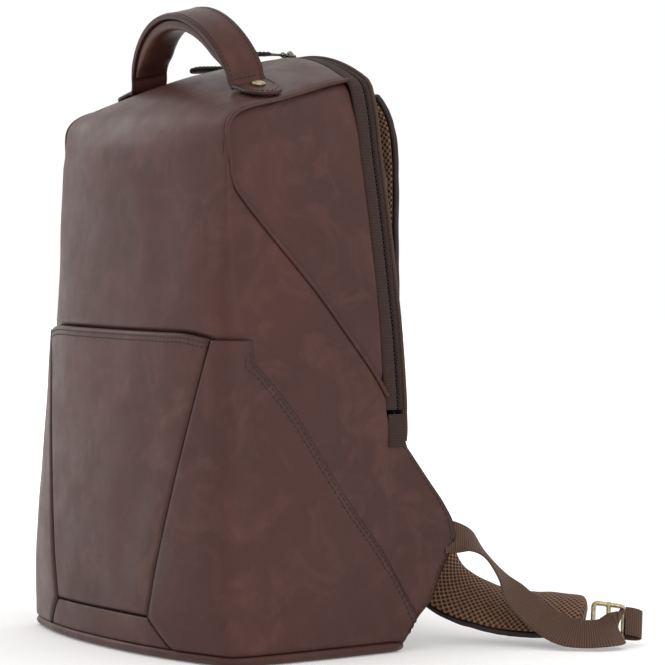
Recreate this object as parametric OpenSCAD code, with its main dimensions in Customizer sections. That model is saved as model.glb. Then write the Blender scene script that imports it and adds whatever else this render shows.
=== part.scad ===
// Leather backpack: front and top wrap, inset upper side panels, front slip pocket,
// zip all round the top, carry handle, padded back and two adjustable shoulder straps.
// Origin: centre of the base on the floor. -Y is the front, +Y the wearer's side, +Z up.

/* [Body] */
// Half width at the front corners, at the base
front_half_w = 152; // [140:1:165]
// Loss of half width over the height of the front
front_taper = 31; // [15:1:40]
// Distance from the origin to the front corners, at the base
front_depth = 71; // [60:1:80]
// Loss of that distance over the height of the front
depth_taper = 11; // [4:1:16]
// Forward crown of the front panel at the base
front_crown = 24; // [10:1:30]
// Loss of the crown over the height of the front
crown_taper = 7; // [0:1:10]
// Thickness of the leather with its lining
leather_t = 2.6; // [2:0.1:3.5]
// Height of the top panel's middle at the zip
top_z = 427; // [410:1:440]
// Radius of the arched top that the sliders run along
top_r = 186; // [160:1:240]

/* [Opening] */
// Height of the zip's lower ends
zip_end_z = 168; // [150:1:190]
// Width of each zip tape
tape_w = 8; // [6:0.5:12]
// Height of the front where the soft fold starts
fold_low_z = 233; // [231:1:236]
// Height of the front where the soft fold ends
fold_high_z = 288; // [286:1:300]

/* [Pocket] */
// Height of the front slip pocket's lip
lip_z = 228; // [200:1:229]
// Room between the pocket and the front behind it
pocket_gap = 8; // [6:0.5:10]
// Half width of the pocket's front panel at its lip
panel_half_top = 119; // [100:1:125]
// Half width of that panel at its lower edge
panel_half_low = 62; // [50:1:90]
// Height of that panel's lower edge
panel_low_z = 28; // [20:1:40]

/* [Handle] */
// Half span of the handle
handle_span = 74; // [60:1:80]
// Height of the handle over its feet
handle_rise = 54; // [40:1:60]
// Width of the handle strap
handle_w = 30; // [22:1:34]
// Distance of each rivet from the middle
rivet_x = 84; // [80:1:92]

/* [Straps] */
// Width of the padded shoulder strap
strap_w = 60; // [50:1:66]
// Thickness of the strap's foam
foam_t = 7; // [5:0.5:9]
// Width of the webbing
web_w = 25; // [20:1:28]
// Thickness of the webbing
web_t = 1.8; // [1.4:0.1:2.2]
// Radius of the adjuster's wire
wire_r = 1.7; // [1.4:0.1:2]

/* [Back] */
// Plane where the front meets the zip
seam_y = 63; // [60:1:66]
// Inner plane of the back panel
back_y = 78; // [76:1:80]
// Thickness of the back pads
pad_t = 10; // [8:1:11]

/* [Hidden] */

wall_z = 360;           // height over which the tapers are stated
gap = 0.4;              // clearance between neighbouring pieces
roll_z = 345;           // height where the front starts to roll into the top
handle_y = -14.5;       // plane of the handle
handle_z = 406;         // height of the handle's hinge line
arc_z = top_z - top_r;  // centre of the arched top
coil_y = seam_y + 9.2;  // plane where the two halves of the zip meet
hide_col = [0.24, 0.13, 0.10];
dark_col = [0.12, 0.08, 0.07];
web_col = [0.29, 0.20, 0.15];
mesh_col = [0.36, 0.24, 0.16];
brass_col = [0.62, 0.55, 0.36];

// Half width of the rear edge, by height
REAR = [[0, 140], [170, 133.5], [220, 128], [280, 116.7], [321, 108], [357, 99.4],
    [378, 95.2], [396, 90], [408, 84]];
// Diagonal of the inset side panel: height by distance back
DIAG = [[-60, 340], [-32, 304], [8, 259], [32, 228], [54, 199], [60, 188],
    [70, 170]];
// Edge of the top panel: [x, y, z] from the front roll to the zip
EDGE = [[123, -61, 345], [121.5, -61, 362], [120, -58, 376], [117, -48, 384],
    [113, -30, 389], [106, -8, 393], [95, 23, 400], [87, 45, 405], [81, 63, 408]];
// Middle of the top panel: [y, z] at the same stations
MID = [[-78.3, 345], [-76, 362], [-68, 380], [-55, 392], [-36, 402], [-10, 412],
    [23, 420], [45, 424], [63, 427]];
// Free edge of the wing: distance back by height
WING = [[24, 86], [36, 97], [56, 104], [71, 112], [88, 115], [104, 108],
    [120, 98], [144, 82], [164, 68]];
// Route of the right shoulder strap: middle line, then its width direction
STRAP = [[46, 91, 394, 1, 0, 0], [49, 98.5, 376, 1, 0.05, 0],
    [54, 100, 345, 1, 0.05, 0.1], [58, 98.6, 290, 1, 0, 0.05], [60, 98, 230, 1, 0, 0],
    [62, 98.5, 170, 1, 0, 0.05], [68, 104, 124, 0.85, -0.02, 0.5],
    [80, 120, 82, 0.25, 0.1, 0.96], [98, 141, 47, -0.25, 0.45, 0.85],
    [118, 161, 32, -0.48, 0.6, 0.64], [138, 179, 26, -0.53, 0.63, 0.56],
    [156, 194, 23.5, -0.54, 0.63, 0.54], [173, 208.5, 22, -0.54, 0.63, 0.52]];
// Route of the webbing: middle line, then its width direction
WEB = [[141.5, 116.5, 80, -0.4, 0.4, 0.8], [146, 127, 77, -0.7, 0.45, 0.5],
    [150, 137, 67, -0.87, 0.5, 0.1], [156, 147, 52, -0.75, 0.6, 0.15],
    [161, 154, 40, -0.4, 0.75, 0.4], [167, 163, 29, -0.35, 0.7, 0.6],
    [175, 172, 20, -0.4, 0.6, 0.7], [188, 180, 13, -0.55, 0.45, 0.7],
    [198, 191, 11.5, -0.6, 0.4, 0.7], [205, 204, 12.5, -0.6, 0.4, 0.7],
    [203, 215, 15, -0.5, 0.35, 0.75], [196, 218, 18, -0.5, 0.35, 0.78]];

function mix(a, b, t) = a + (b - a) * t;
function wf(z) = front_half_w - front_taper * z / wall_z;
function ff(z) = front_depth - depth_taper * z / wall_z;
function cr(z) = front_crown - crown_taper * z / wall_z;
function wb(z) = lookup(z, REAR);
function unit(v) = v / norm(v);
function flat(l) = [for (a = l) for (b = a) b];
function rev(l) = [for (i = [len(l) - 1:-1:0]) l[i]];
function at(l, s) = let (n = len(l) - 1, i = min(floor(s * n), n - 1))
    mix(l[i], l[i + 1], s * n - i);
// Catmull-Rom point on a route
function smooth(l, s) = let (n = len(l) - 1, i = min(floor(s * n), n - 1), t = s * n - i,
    a = l[max(i - 1, 0)], b = l[i], c = l[i + 1], d = l[min(i + 2, n)])
    0.5 * ((2 * b) + (c - a) * t + (2 * a - 5 * b + 4 * c - d) * t * t
    + (3 * b - a - 3 * c + d) * t * t * t);

// One height of the body, from the left rear edge round the front to the right:
// q runs from -3 to 3, the sides for |q| over 1.3, the corners between 1 and 1.3
corner_r = 10;
function side_x(z, y) = mix(wf(z), wb(z), (y + ff(z)) / (seam_y + ff(z)));
function side_pt(z, y, d) = [min(side_x(z, y), wb(z) + 30) - d, y, z];
function front_pt(z, u, d) = [u * (wf(z) - d), d - ff(z) - cr(z) * (1 - u * u), z];
function corner_pt(z, t, d) = let (a = front_pt(z, 1 - corner_r / wf(z), d),
    b = front_pt(z, 1, d), c = side_pt(z, corner_r - ff(z), d))
    a * (1 - t) * (1 - t) + 2 * b * t * (1 - t) + c * t * t;
function right_pt(z, q, rear, d) = q <= 1
    ? front_pt(z, q * (1 - corner_r / wf(z)), d)
    : q <= 1.3 ? corner_pt(z, (q - 1) / 0.3, d)
    : side_pt(z, mix(corner_r - ff(z), rear, (q - 1.3) / 1.7), d);
function body_pt(z, q, rear, d) = let (p = right_pt(z, abs(q), rear, d))
    [q < 0 ? -p[0] : p[0], p[1], p[2]];
FRONT_Q = [for (i = [-7:7]) i / 7];
CORNER_Q = [1.1, 1.2, 1.3];
SIDE_Q = [for (i = [1:7]) 1.3 + 1.7 * i / 7];
ROUND_Q = concat([for (q = rev(SIDE_Q)) -q], [for (q = rev(CORNER_Q)) -q], FRONT_Q,
    CORNER_Q, SIDE_Q);

// Closed solid between two grids of points, o outside and n inside
module shell(o, n) {
    r = len(o);
    c = len(o[0]);
    m = r * c;
    quads = concat(
        [for (i = [0:r - 2]) for (j = [0:c - 2])
            [i * c + j, i * c + j + 1, (i + 1) * c + j + 1, (i + 1) * c + j]],
        [for (i = [0:r - 2]) for (j = [0:c - 2]) [m + i * c + j,
            m + (i + 1) * c + j, m + (i + 1) * c + j + 1, m + i * c + j + 1]],
        [for (j = [0:c - 2]) [m + j, m + j + 1, j + 1, j]],
        [for (j = [0:c - 2]) [(r - 1) * c + j, (r - 1) * c + j + 1,
            m + (r - 1) * c + j + 1, m + (r - 1) * c + j]],
        [for (i = [0:r - 2]) [i * c, (i + 1) * c, m + (i + 1) * c, m + i * c]],
        [for (i = [0:r - 2]) [m + i * c + c - 1, m + (i + 1) * c + c - 1,
            (i + 1) * c + c - 1, i * c + c - 1]]);
    // the faces turn outwards whichever way round the grid runs
    i = floor((r - 1) / 2);
    j = floor((c - 1) / 2);
    out = cross(o[i][j + 1] - o[i][j], o[i + 1][j] - o[i][j]) * (o[i][j] - n[i][j]) > 0;
    tris = [for (f = quads) each out
        ? [[f[0], f[2], f[1]], [f[0], f[3], f[2]]]
        : [[f[0], f[1], f[2]], [f[0], f[2], f[3]]]];
    polyhedron(points = concat(flat(o), flat(n)), faces = tris, convexity = 8);
}

module mirrored() {
    mirror([1, 0, 0]) children();
}

// Flat band along a route: width w, thickness t, shifted by off along its normal
module band(route, w, t, off, steps, s0 = 0, s1 = 1, ease = 0) {
    pts = [for (i = [0:steps]) smooth(route, mix(s0, s1, i / steps))];
    pos = [for (p = pts) [p[0], p[1], p[2]]];
    n = len(pts) - 1;
    tan = [for (i = [0:n]) unit(pos[min(i + 1, n)] - pos[max(i - 1, 0)])];
    wid = [for (i = [0:n]) let (v = [pts[i][3], pts[i][4], pts[i][5]])
        unit(v - tan[i] * (v * tan[i]))];
    nor = [for (i = [0:n]) cross(tan[i], wid[i])];
    // the ends narrow to rounded tips
    half = [for (i = [0:n]) w / 2 * (ease == 0 ? 1
        : sqrt(max(0.12, 1 - pow(max(0, 1 - min(i, n - i) / ease), 2))))];
    top = [for (i = [0:n]) [for (k = [-1, 0, 1])
        pos[i] + wid[i] * half[i] * k + nor[i] * (off + t)]];
    low = [for (i = [0:n]) [for (k = [-1, 0, 1])
        pos[i] + wid[i] * half[i] * k + nor[i] * off]];
    shell(top, low);
}

// Round bar along a list of points
module tube(pts, r, sides = 6) {
    n = len(pts) - 1;
    tan = [for (i = [0:n]) unit(pts[min(i + 1, n)] - pts[max(i - 1, 0)])];
    a = [for (i = [0:n]) unit(cross(tan[i], [1, 0.2, 0]))];
    b = [for (i = [0:n]) cross(tan[i], a[i])];
    ring = [for (i = [0:n]) [for (k = [0:sides - 1])
        pts[i] + r * (a[i] * cos(360 * k / sides) + b[i] * sin(360 * k / sides))]];
    skin = [for (i = [0:n - 1]) for (k = [0:sides - 1]) let (e = (k + 1) % sides)
        each [[i * sides + k, i * sides + e, (i + 1) * sides + e],
            [i * sides + k, (i + 1) * sides + e, (i + 1) * sides + k]]];
    caps = [[for (k = [sides - 1:-1:0]) k], [for (k = [0:sides - 1]) n * sides + k]];
    polyhedron(points = flat(ring), faces = concat(skin, caps), convexity = 8);
}

// Fold lines on the sides run from the zip's end to the front corner
function slope_z(y, high) = mix(zip_end_z, high,
    min(1, max(0, (seam_y + 4 - y) / (seam_y + 4 + 62))));
// Body patch between two height functions
module patch(qs, low, high, rear, d0, d1, rows) {
    grid = function (d) [for (i = [0:rows]) [for (q = qs)
        let (y = body_pt(220, q, rear, 0)[1])
        body_pt(mix(low(y), high(y), i / rows), q, rear, d)]];
    shell(grid(d0), grid(d1));
}

// ---- body: lower half ----
function set_back(q) = pocket_gap * (abs(q) < 1 ? 1 - pow(abs(q), 4) : 0);
module wrap_lower() color(hide_col) {
    grid = function (d) [for (i = [0:9]) [for (q = ROUND_Q)
        let (y = body_pt(220, q, back_y - 1.5, 0)[1],
            z = mix(5.5, slope_z(y, fold_low_z), i / 9),
            p = body_pt(z, q, back_y - 1.5, d))
        [p[0], p[1] + set_back(q), p[2]]]];
    shell(grid(leather_t + gap), grid(2 * leather_t + gap));
}
module fold_band() color(hide_col) {
    // it starts as far back as the lower wrap and comes forward as it rises
    grid = function (d) [for (i = [0:4]) [for (q = ROUND_Q)
        let (y = body_pt(220, q, seam_y + 1, 0)[1],
            p = body_pt(mix(slope_z(y, fold_low_z) + 1.2, slope_z(y, fold_high_z) - gap,
                i / 4), q, seam_y + 1, d))
        [p[0], p[1] + (1 - i / 4) * set_back(q), p[2]]]];
    shell(grid(leather_t + gap), grid(2 * leather_t + gap));
}
// The pocket panels lie over the lower wrap
function panel_u(z) = mix(panel_half_low, panel_half_top,
    (z - panel_low_z) / (lip_z - panel_low_z)) / wf(z);
module pocket_front() color(hide_col) {
    grid = function (d) [for (i = [0:8]) let (z = mix(panel_low_z, lip_z, i / 8))
        [for (k = [-10:10]) front_pt(z, k / 10 * (panel_u(z) - gap / wf(z)), d)]];
    shell(grid(0), grid(leather_t));
}
// Rear edge of the pocket's side, by height
LIP = [[6, 90], [24, 88], [73, 57], [104, 32], [138, 8], [168, -12], [189, -29],
    [210, -49], [222, -62]];
function lip_rear(z) = min(back_y - 6, lookup(z, LIP));
module pocket_side_right() color(hide_col) {
    us = [for (k = [0:3]) k / 3];
    col = function (z, j, d) let (a = max(panel_u(z), 0.42) + gap / wf(z),
        e = 1 - corner_r / wf(z))
        j <= 3 ? front_pt(z, mix(a, max(e, a), us[j]), d)
        : j <= 6 ? corner_pt(z, (j - 3) / 3, d)
        : side_pt(z, mix(corner_r - ff(z), max(lip_rear(z), corner_r - ff(z) + 2),
            (j - 6) / 5), d);
    grid = function (d) [for (i = [0:9]) let (z = mix(6, lip_z - 6, i / 9))
        [for (j = [0:11]) col(z, j, d)]];
    shell(grid(0), grid(leather_t));
}
module pocket_side_left() mirrored() pocket_side_right();
module pocket_strip() color(hide_col) {
    grid = function (d) [for (z = [6, panel_low_z - gap]) [for (k = [-6:6])
        front_pt(z, k / 6 * (0.42 - gap / wf(z)), d)]];
    shell(grid(0), grid(leather_t));
}
module base_outline(d, z) {
    polygon(concat([for (q = ROUND_Q) let (p = body_pt(z, q, back_y - 2, d))
        [p[0], p[1]]]));
}
module base_panel() color(hide_col) linear_extrude(5)
    base_outline(1, 0);
module base_board() color(dark_col) translate([0, 0, 5.2]) linear_extrude(2)
    base_outline(20, 10);

module wing_right() color(hide_col) {
    grid = function (d) [for (i = [0:10]) let (z = mix(24, 163, i / 10))
        [for (k = [0:6]) let (y = mix(59, lookup(z, WING), k / 6), g = (y - 59) / 56)
        [side_x(z, 63) + 1.2 + 5 * g * g + d, y, z]]];
    shell(grid(2.6), grid(0));
}
module wing_left() mirrored() wing_right();

// ---- body: back ----
// Right half of the zip's line, from its lower end to the middle of the top
LINE = concat([for (i = [0:12]) let (z = mix(zip_end_z + 4, 396, i / 12)) [wb(z), z]],
    [[87.5, 402.5]],
    [for (i = [0:9]) let (a = asin(81 / top_r) * (1 - i / 9))
        [top_r * sin(a), arc_z + top_r * cos(a)]]);
FULL = concat(LINE, [for (i = [len(LINE) - 2:-1:0]) [-LINE[i][0], LINE[i][1]]]);
function inset(l, d) = let (n = len(l) - 1) [for (i = [0:n])
    let (t = unit(l[min(i + 1, n)] - l[max(i - 1, 0)])) l[i] + d * [-t[1], t[0]]];
module along(d0, d1, y0, y1) {
    translate([0, y1, 0]) rotate([90, 0, 0]) linear_extrude(y1 - y0)
        polygon(concat(inset(FULL, d0), rev(inset(FULL, d1))));
}
module zip_tape_back() color(web_col)
    along(0.6, 2.2, coil_y + 1.4, back_y - 0.2);
module zip_coil_back() color(dark_col)
    along(0.2, 2.2, coil_y + 0.2, coil_y + 1.3);
module back_outline(d) {
    low = [[110 - d, 8], [126 - d, 12], [135 - d, 24], [138 - d, 40]];
    right = concat(low, inset(LINE, d));
    // the middle point of the arch is used once
    left = [for (i = [len(right) - 2:-1:0]) [-right[i][0], right[i][1]]];
    polygon(concat(right, left));
}
module back_panel() color(dark_col)
    translate([0, back_y + 2.6, 0]) rotate([90, 0, 0]) linear_extrude(2.6)
        back_outline(0.3);
module frame_sheet() color(dark_col)
    translate([0, back_y - 1.5, 0]) rotate([90, 0, 0]) linear_extrude(1.5)
        back_outline(9);
module laptop_sleeve() color(web_col) {
    translate([-106, 54, 12]) cube([212, 1.6, 250]);
    for (x = [-106, 104.4]) translate([x, 55.6, 12]) cube([1.6, back_y - 59, 250]);
    translate([-106, 55.6, 12]) cube([212, back_y - 59, 2]);
}
// Padded block with rounded corners, standing on the back panel
module pad(corners) color(mesh_col) {
    translate([0, back_y + 2.8, 0]) rotate([90, 0, 0]) mirror([0, 0, 1])
    hull() for (l = [[0, 12], [pad_t - 4, 11], [pad_t, 3]]) for (p = corners)
        translate([p[0], p[1], l[0]]) cylinder(r = l[1], h = 0.1, $fn = 20);
}
PAD_TOP = [[17, 304], [17, 356], [80, 356], [91, 332], [80, 304]];
PAD_LOW = [[17, 72], [17, 272], [91, 272], [100, 190], [92, 72]];
module pad_top_right() pad(PAD_TOP);
module pad_low_right() pad(PAD_LOW);
module pad_top_left() mirrored() pad_top_right();
module pad_low_left() mirrored() pad_low_right();
module strap_yoke() color(hide_col)
    translate([0, back_y + 2.7, 376]) rotate([-90, 0, 0])
        mirror([0, 1, 0]) linear_extrude(3)
            polygon([[-80, 0], [80, 0], [74, 16], [40, 28], [-40, 28], [-74, 16]]);
module zip_stop_right() color(hide_col)
    translate([wb(160) + 0.6, seam_y + 3, 164.5]) cube([2, 11, 7]);
module zip_stop_left() mirrored() zip_stop_right();

// ---- front upper: turns forward when the zip is open ----
module top_strip() {
    rows = 16;
    row = function (s, d) let (e = smooth(EDGE, s), m = smooth(MID, s),
        t = smooth(MID, min(1, s + 0.02)) - smooth(MID, max(0, s - 0.02)),
        n = unit([0, t[1], -t[0]]) * -1)
        [for (k = [-8:8]) let (u = k / 8)
        [u * e[0], mix(m[0], e[1], u * u), mix(m[1], e[2], u * u)]
            - n * d - [u * d * 0.4, 0, 0]];
    shell([for (i = [0:rows]) row(i / rows, 0)],
        [for (i = [0:rows]) row(i / rows, leather_t)]);
}
module wrap_upper() color(hide_col) {
    patch(concat([for (q = rev(CORNER_Q)) -q], FRONT_Q, CORNER_Q),
        function (y) slope_z(y, fold_high_z) + gap, function (y) roll_z + 3,
        seam_y, 0, leather_t, 4);
    top_strip();
    for (m = [0, 1]) mirror([m, 0, 0]) side_wedge();
}
// Part of the wrap on the side, between the soft fold and the diagonal
module side_wedge() {
    grid = function (d) [for (i = [0:9]) let (y = mix(corner_r - ff(330) - 0.5, 52, i / 9))
        [for (k = [0:3]) let (z = mix(slope_z(y, fold_high_z) + gap, lookup(y, DIAG) - 2.4,
            k / 3)) side_pt(z, y, d)]];
    shell(grid(0), grid(leather_t));
}
// Inset side panel between the diagonal, the top seam and the zip
function panel_front(z) = z < 340
    ? lookup(z, [for (p = rev(DIAG)) [p[1], p[0]]])
    : z < 372 ? -60 : lookup(z, [[372, -57], [384, -38], [393, -8], [400, 23], [406, 48]]);
module side_panel_right() color(hide_col) {
    grid = function (d) [for (i = [0:14]) let (z = mix(184, 402, i / 14))
        [for (k = [0:5]) side_pt(z, mix(panel_front(z) + 2.6, seam_y, k / 5), d)]];
    shell(grid(2.2), grid(4.6));
}
module side_panel_left() mirrored() side_panel_right();
module piping_right() color(hide_col)
    tube(concat([for (i = [1:10]) let (p = at(DIAG, 0.9 - 0.09 * (i - 1)))
        side_pt(p[1], p[0], 0.4)],
        [side_pt(346, -58, 0.6), side_pt(358, -58.5, 0.6), side_pt(368, -56, 0.6)],
        [for (i = [3:8]) EDGE[i] - [0.5, 0, 1.5] - (i == 8 ? [0, 1.2, 0] : [0, 0, 0])]),
        1.9);
module piping_left() mirrored() piping_right();
module zip_tape_front() color(web_col)
    along(0.6, 2.2, seam_y + 0.2, coil_y - 1.4);
module zip_coil_front() color(dark_col)
    along(0.2, 2.2, coil_y - 1.3, coil_y - 0.2);
module organiser() color(dark_col)
    translate([-80, -56, 300]) cube([160, 1.6, 56]);

// ---- handle ----
function top_at(x, y) = let (s = lookup(y, [for (i = [3:8]) [EDGE[i][1], i / 8]]),
    e = smooth(EDGE, s), m = smooth(MID, s)) mix(m[1], e[2], pow(x / e[0], 2));
module handle_foot_right() color(hide_col) {
    x_end = 106;
    difference() {
        grid_foot(60, x_end, 2.6);
        translate([rivet_x, handle_y, 380]) cylinder(r = 2.1, h = 60, $fn = 24);
    }
}
module grid_foot(x0, x1, t) {
    cols = function (x) let (e = min(1, (x1 - x) / 14))
        handle_w / 2 * sqrt(max(0.06, 1 - pow(1 - e, 2)));
    grid = function (d) [for (i = [0:10]) let (x = mix(x0, x1, i / 10))
        [for (k = [-2:2]) let (y = handle_y + k / 2 * cols(x))
        [x, y, top_at(x, y) + 1.4 + d]]];
    shell([for (r = grid(t)) rev(r)], [for (r = grid(0)) rev(r)]);
}
module handle_foot_left() mirrored() handle_foot_right();
module rivet_right() color(brass_col) {
    z = top_at(rivet_x, handle_y);
    translate([rivet_x, handle_y, z - 6]) cylinder(r = 2, h = 11, $fn = 24);
    translate([rivet_x, handle_y, z + 4.6]) rotate_extrude($fn = 32)
        polygon([[0, 0], [5, 0], [4.4, 1], [2.6, 1.7], [0, 2]]);
    translate([rivet_x, handle_y, z - 8]) cylinder(r = 5, h = 1.2, $fn = 32);
}
module rivet_left() mirrored() rivet_right();
module handle_plate() color(dark_col) {
    grid = function (d) [for (i = [0:12]) let (x = mix(-74, 74, i / 12))
        [for (y = [handle_y + 14, handle_y, handle_y - 14])
            [x, y, top_at(x, y) - 3.4 - d]]];
    shell(grid(0), grid(1.6));
}
function arch(a, d) = [(handle_span - d) * sin(a), (handle_rise - d) * pow(cos(a), 1.3)];
module arch_band(d0, d1, half_y, a_end) {
    angs = [for (i = [-14:14]) i / 14 * a_end];
    // the handle rests leaning a little forwards
    translate([0, handle_y, handle_z]) rotate([12, 0, 0])
        translate([0, half_y, 0]) rotate([90, 0, 0]) linear_extrude(2 * half_y)
        polygon(concat([for (a = angs) arch(a, d0)], rev([for (a = angs) arch(a, d1)])));
}
module handle_strap() color(hide_col) arch_band(0, 4, handle_w / 2, 78);
module handle_roll() color(hide_col) arch_band(4.1, 13, handle_w / 2 - 3, 70);

// ---- sliders, on the arched top ----
right_a = -4;
left_a = -19;
// Places a slider's parts at an angle of the arched top
module on_arc(a) {
    translate([0, coil_y, arc_z]) rotate([0, a, 0]) translate([0, 0, top_r]) children();
}
module slider_body() color(brass_col) {
    translate([-6, -4.4, 0.6]) cube([12, 8.8, 2.2]);
    translate([-4, -7.2, 0.9]) cube([2, 2.9, 2.6]);
    translate([2, -7.2, 0.9]) cube([2, 2.9, 2.6]);
    translate([-4, -6.2, 2.6]) rotate([0, 90, 0]) cylinder(r = 0.8, h = 8, $fn = 20);
}
module slider_right() on_arc(right_a) slider_body();
module slider_left() on_arc(left_a) slider_body();
// Pull: a ring on the slider's bar and a flat link, then its leather tab
module pull_link() color(brass_col) {
    difference() {
        translate([-1.6, -17, 1.7]) cube([3.2, 12, 1.9]);
        translate([-3, -6.2, 2.6]) rotate([0, 90, 0]) cylinder(r = 0.86, h = 6, $fn = 20);
    }
    translate([-4, -18.6, 1.7]) cube([8, 1.8, 1.9]);
}
module pull_tab() color(dark_col)
    translate([0, -19, 1.5]) linear_extrude(2.4)
        polygon([[-4.5, 0], [4.5, 0], [5.2, -28], [4, -37], [0, -40], [-4, -37],
            [-5.2, -28]]);
module pull_right() on_arc(right_a) pull_link();
module pull_left() on_arc(left_a) pull_link();
module pull_tab_right() on_arc(right_a) pull_tab();
module pull_tab_left() on_arc(left_a) pull_tab();

// ---- shoulder straps ----
module strap_leather_right() color(hide_col)
    band(STRAP, strap_w, 1.8, -foam_t / 2 - 2.4, 48, ease = 3);
module strap_foam_right() color(dark_col)
    band(STRAP, strap_w - 4, foam_t, -foam_t / 2, 48, ease = 3);
module strap_mesh_right() color(mesh_col)
    band(STRAP, strap_w - 2, 1.8, foam_t / 2 + 0.6, 48, ease = 3);
module webbing_right() color(web_col)
    band(WEB, web_w, web_t, -web_t / 2, 44);
// Adjuster: a rectangular wire frame with a sliding bar
AT = [187, 219, 18];
module adjuster_right() color(brass_col)
    translate(AT) rotate([-40, 8, 60]) {
        for (z = [-14, 14]) translate([-11, 0, z]) rotate([0, 90, 0])
            cylinder(r = wire_r, h = 22, $fn = 20);
        for (x = [-11, 0, 11]) translate([x, 0, -14])
            cylinder(r = wire_r, h = 28, $fn = 20);
        for (x = [-11, 11]) for (z = [-14, 14]) translate([x, 0, z])
            sphere(r = wire_r, $fn = 20);
    }
// Short loop of webbing that turns round the adjuster's far bar
LOOP = [for (i = [0:10]) let (a = 180 * i / 10 - 90) [12 * cos(a), 4.2 * sin(a)]];
module web_loop_right() color(web_col)
    translate(AT) rotate([-40, 8, 60]) translate([14, 0, -web_w / 2 + 0.8])
        linear_extrude(web_w - 1.6) polygon(concat([for (p = LOOP) p],
            rev([for (p = LOOP) [p[0] * 0.86, p[1] * 0.6]])));
module strap_leather_left() mirrored() strap_leather_right();
module strap_foam_left() mirrored() strap_foam_right();
module strap_mesh_left() mirrored() strap_mesh_right();
module webbing_left() mirrored() webbing_right();
module adjuster_left() mirrored() adjuster_right();
module web_loop_left() mirrored() web_loop_right();

wrap_lower();
fold_band();
pocket_front();
pocket_side_right();
pocket_side_left();
pocket_strip();
base_panel();
base_board();
wing_right();
wing_left();
back_panel();
frame_sheet();
laptop_sleeve();
pad_top_right();
pad_top_left();
pad_low_right();
pad_low_left();
strap_yoke();
zip_tape_back();
zip_coil_back();
zip_stop_right();
zip_stop_left();
wrap_upper();
side_panel_right();
side_panel_left();
piping_right();
piping_left();
zip_tape_front();
zip_coil_front();
organiser();
handle_foot_right();
handle_foot_left();
rivet_right();
rivet_left();
handle_plate();
handle_strap();
handle_roll();
slider_right();
slider_left();
pull_right();
pull_left();
pull_tab_right();
pull_tab_left();
strap_leather_right();
strap_foam_right();
strap_mesh_right();
webbing_right();
adjuster_right();
web_loop_right();
strap_leather_left();
strap_foam_left();
strap_mesh_left();
webbing_left();
adjuster_left();
web_loop_left();
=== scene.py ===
import bpy
import bmesh
import math
from bisect import bisect_right
from mathutils import Matrix, Vector, noise
from mathutils.bvhtree import BVHTree


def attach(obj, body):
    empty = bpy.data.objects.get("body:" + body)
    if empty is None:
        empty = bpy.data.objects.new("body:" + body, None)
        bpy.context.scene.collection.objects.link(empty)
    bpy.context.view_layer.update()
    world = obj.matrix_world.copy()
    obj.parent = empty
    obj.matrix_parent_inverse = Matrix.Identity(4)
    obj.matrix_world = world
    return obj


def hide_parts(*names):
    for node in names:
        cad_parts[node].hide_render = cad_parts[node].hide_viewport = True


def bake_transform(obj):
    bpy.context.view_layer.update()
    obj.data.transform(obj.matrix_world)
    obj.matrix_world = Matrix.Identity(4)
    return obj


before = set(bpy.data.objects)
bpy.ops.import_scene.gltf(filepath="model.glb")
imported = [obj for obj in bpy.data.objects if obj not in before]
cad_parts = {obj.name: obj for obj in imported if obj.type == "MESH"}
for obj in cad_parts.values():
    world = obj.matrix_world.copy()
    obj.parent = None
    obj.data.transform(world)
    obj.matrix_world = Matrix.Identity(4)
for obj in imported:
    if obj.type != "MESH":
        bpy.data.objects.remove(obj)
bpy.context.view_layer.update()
V = Vector
MM = 0.001
SIDES = ((1, "right"), (-1, "left"))

# ------------------------------------------------------------------ camera, floor, light
AZ = math.radians(60.2573)
CAM_D, CAM_Z, AIM_Z = 2.4212, 0.314, 0.215
LENS = 179.1


def camera():
    pitch = math.atan((CAM_Z - AIM_Z) / CAM_D)
    right = V((math.cos(AZ), math.sin(AZ), 0))
    ahead = V((-math.sin(AZ), math.cos(AZ), 0))
    ahead = ahead * math.cos(pitch) + V((0, 0, -math.sin(pitch)))
    up = right.cross(ahead)
    look = ahead + 0.03549 * right + 0.00385 * up
    data = bpy.data.cameras.new("camera")
    data.lens, data.sensor_width = LENS, 36
    data.clip_start, data.clip_end = 0.05, 50
    cam = bpy.data.objects.new("camera", data)
    cam.location = (math.sin(AZ) * CAM_D, -math.cos(AZ) * CAM_D, CAM_Z)
    cam.rotation_euler = look.to_track_quat("-Z", "Y").to_euler()
    bpy.context.scene.collection.objects.link(cam)
    bpy.context.scene.camera = cam


def area_light(name, place, aim, size, power, colour=(1, 1, 1)):
    data = bpy.data.lights.new(name, "AREA")
    data.shape, data.size, data.size_y = "RECTANGLE", size[0], size[1]
    data.energy, data.color = power, colour
    lamp = bpy.data.objects.new(name, data)
    lamp.location = place
    lamp.rotation_euler = (V(aim) - V(place)).to_track_quat("-Z", "Y").to_euler()
    bpy.context.scene.collection.objects.link(lamp)


camera()
bpy.context.scene.view_settings.view_transform = "Standard"


# ------------------------------------------------------------------ curves and small maths
def lerp(a, b, t):
    return a + (b - a) * t


def clamp(x, a=0.0, b=1.0):
    return max(a, min(b, x))


def ease(x):
    x = clamp(x)
    return x * x * (3 - 2 * x)


def falloff(d, reach):
    """1 at a border, falling to 0 at a distance reach from it."""
    return 1 - ease(d / reach)


def flip(p, sign=-1):
    """The same point on the right (1) or mirrored to the left (-1)."""
    return V((sign * p.x, p.y, p.z))


def heading(pts, i):
    """Direction of a polyline at one of its points."""
    return (pts[min(i + 1, len(pts) - 1)] - pts[max(i - 1, 0)]).normalized()


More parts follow.
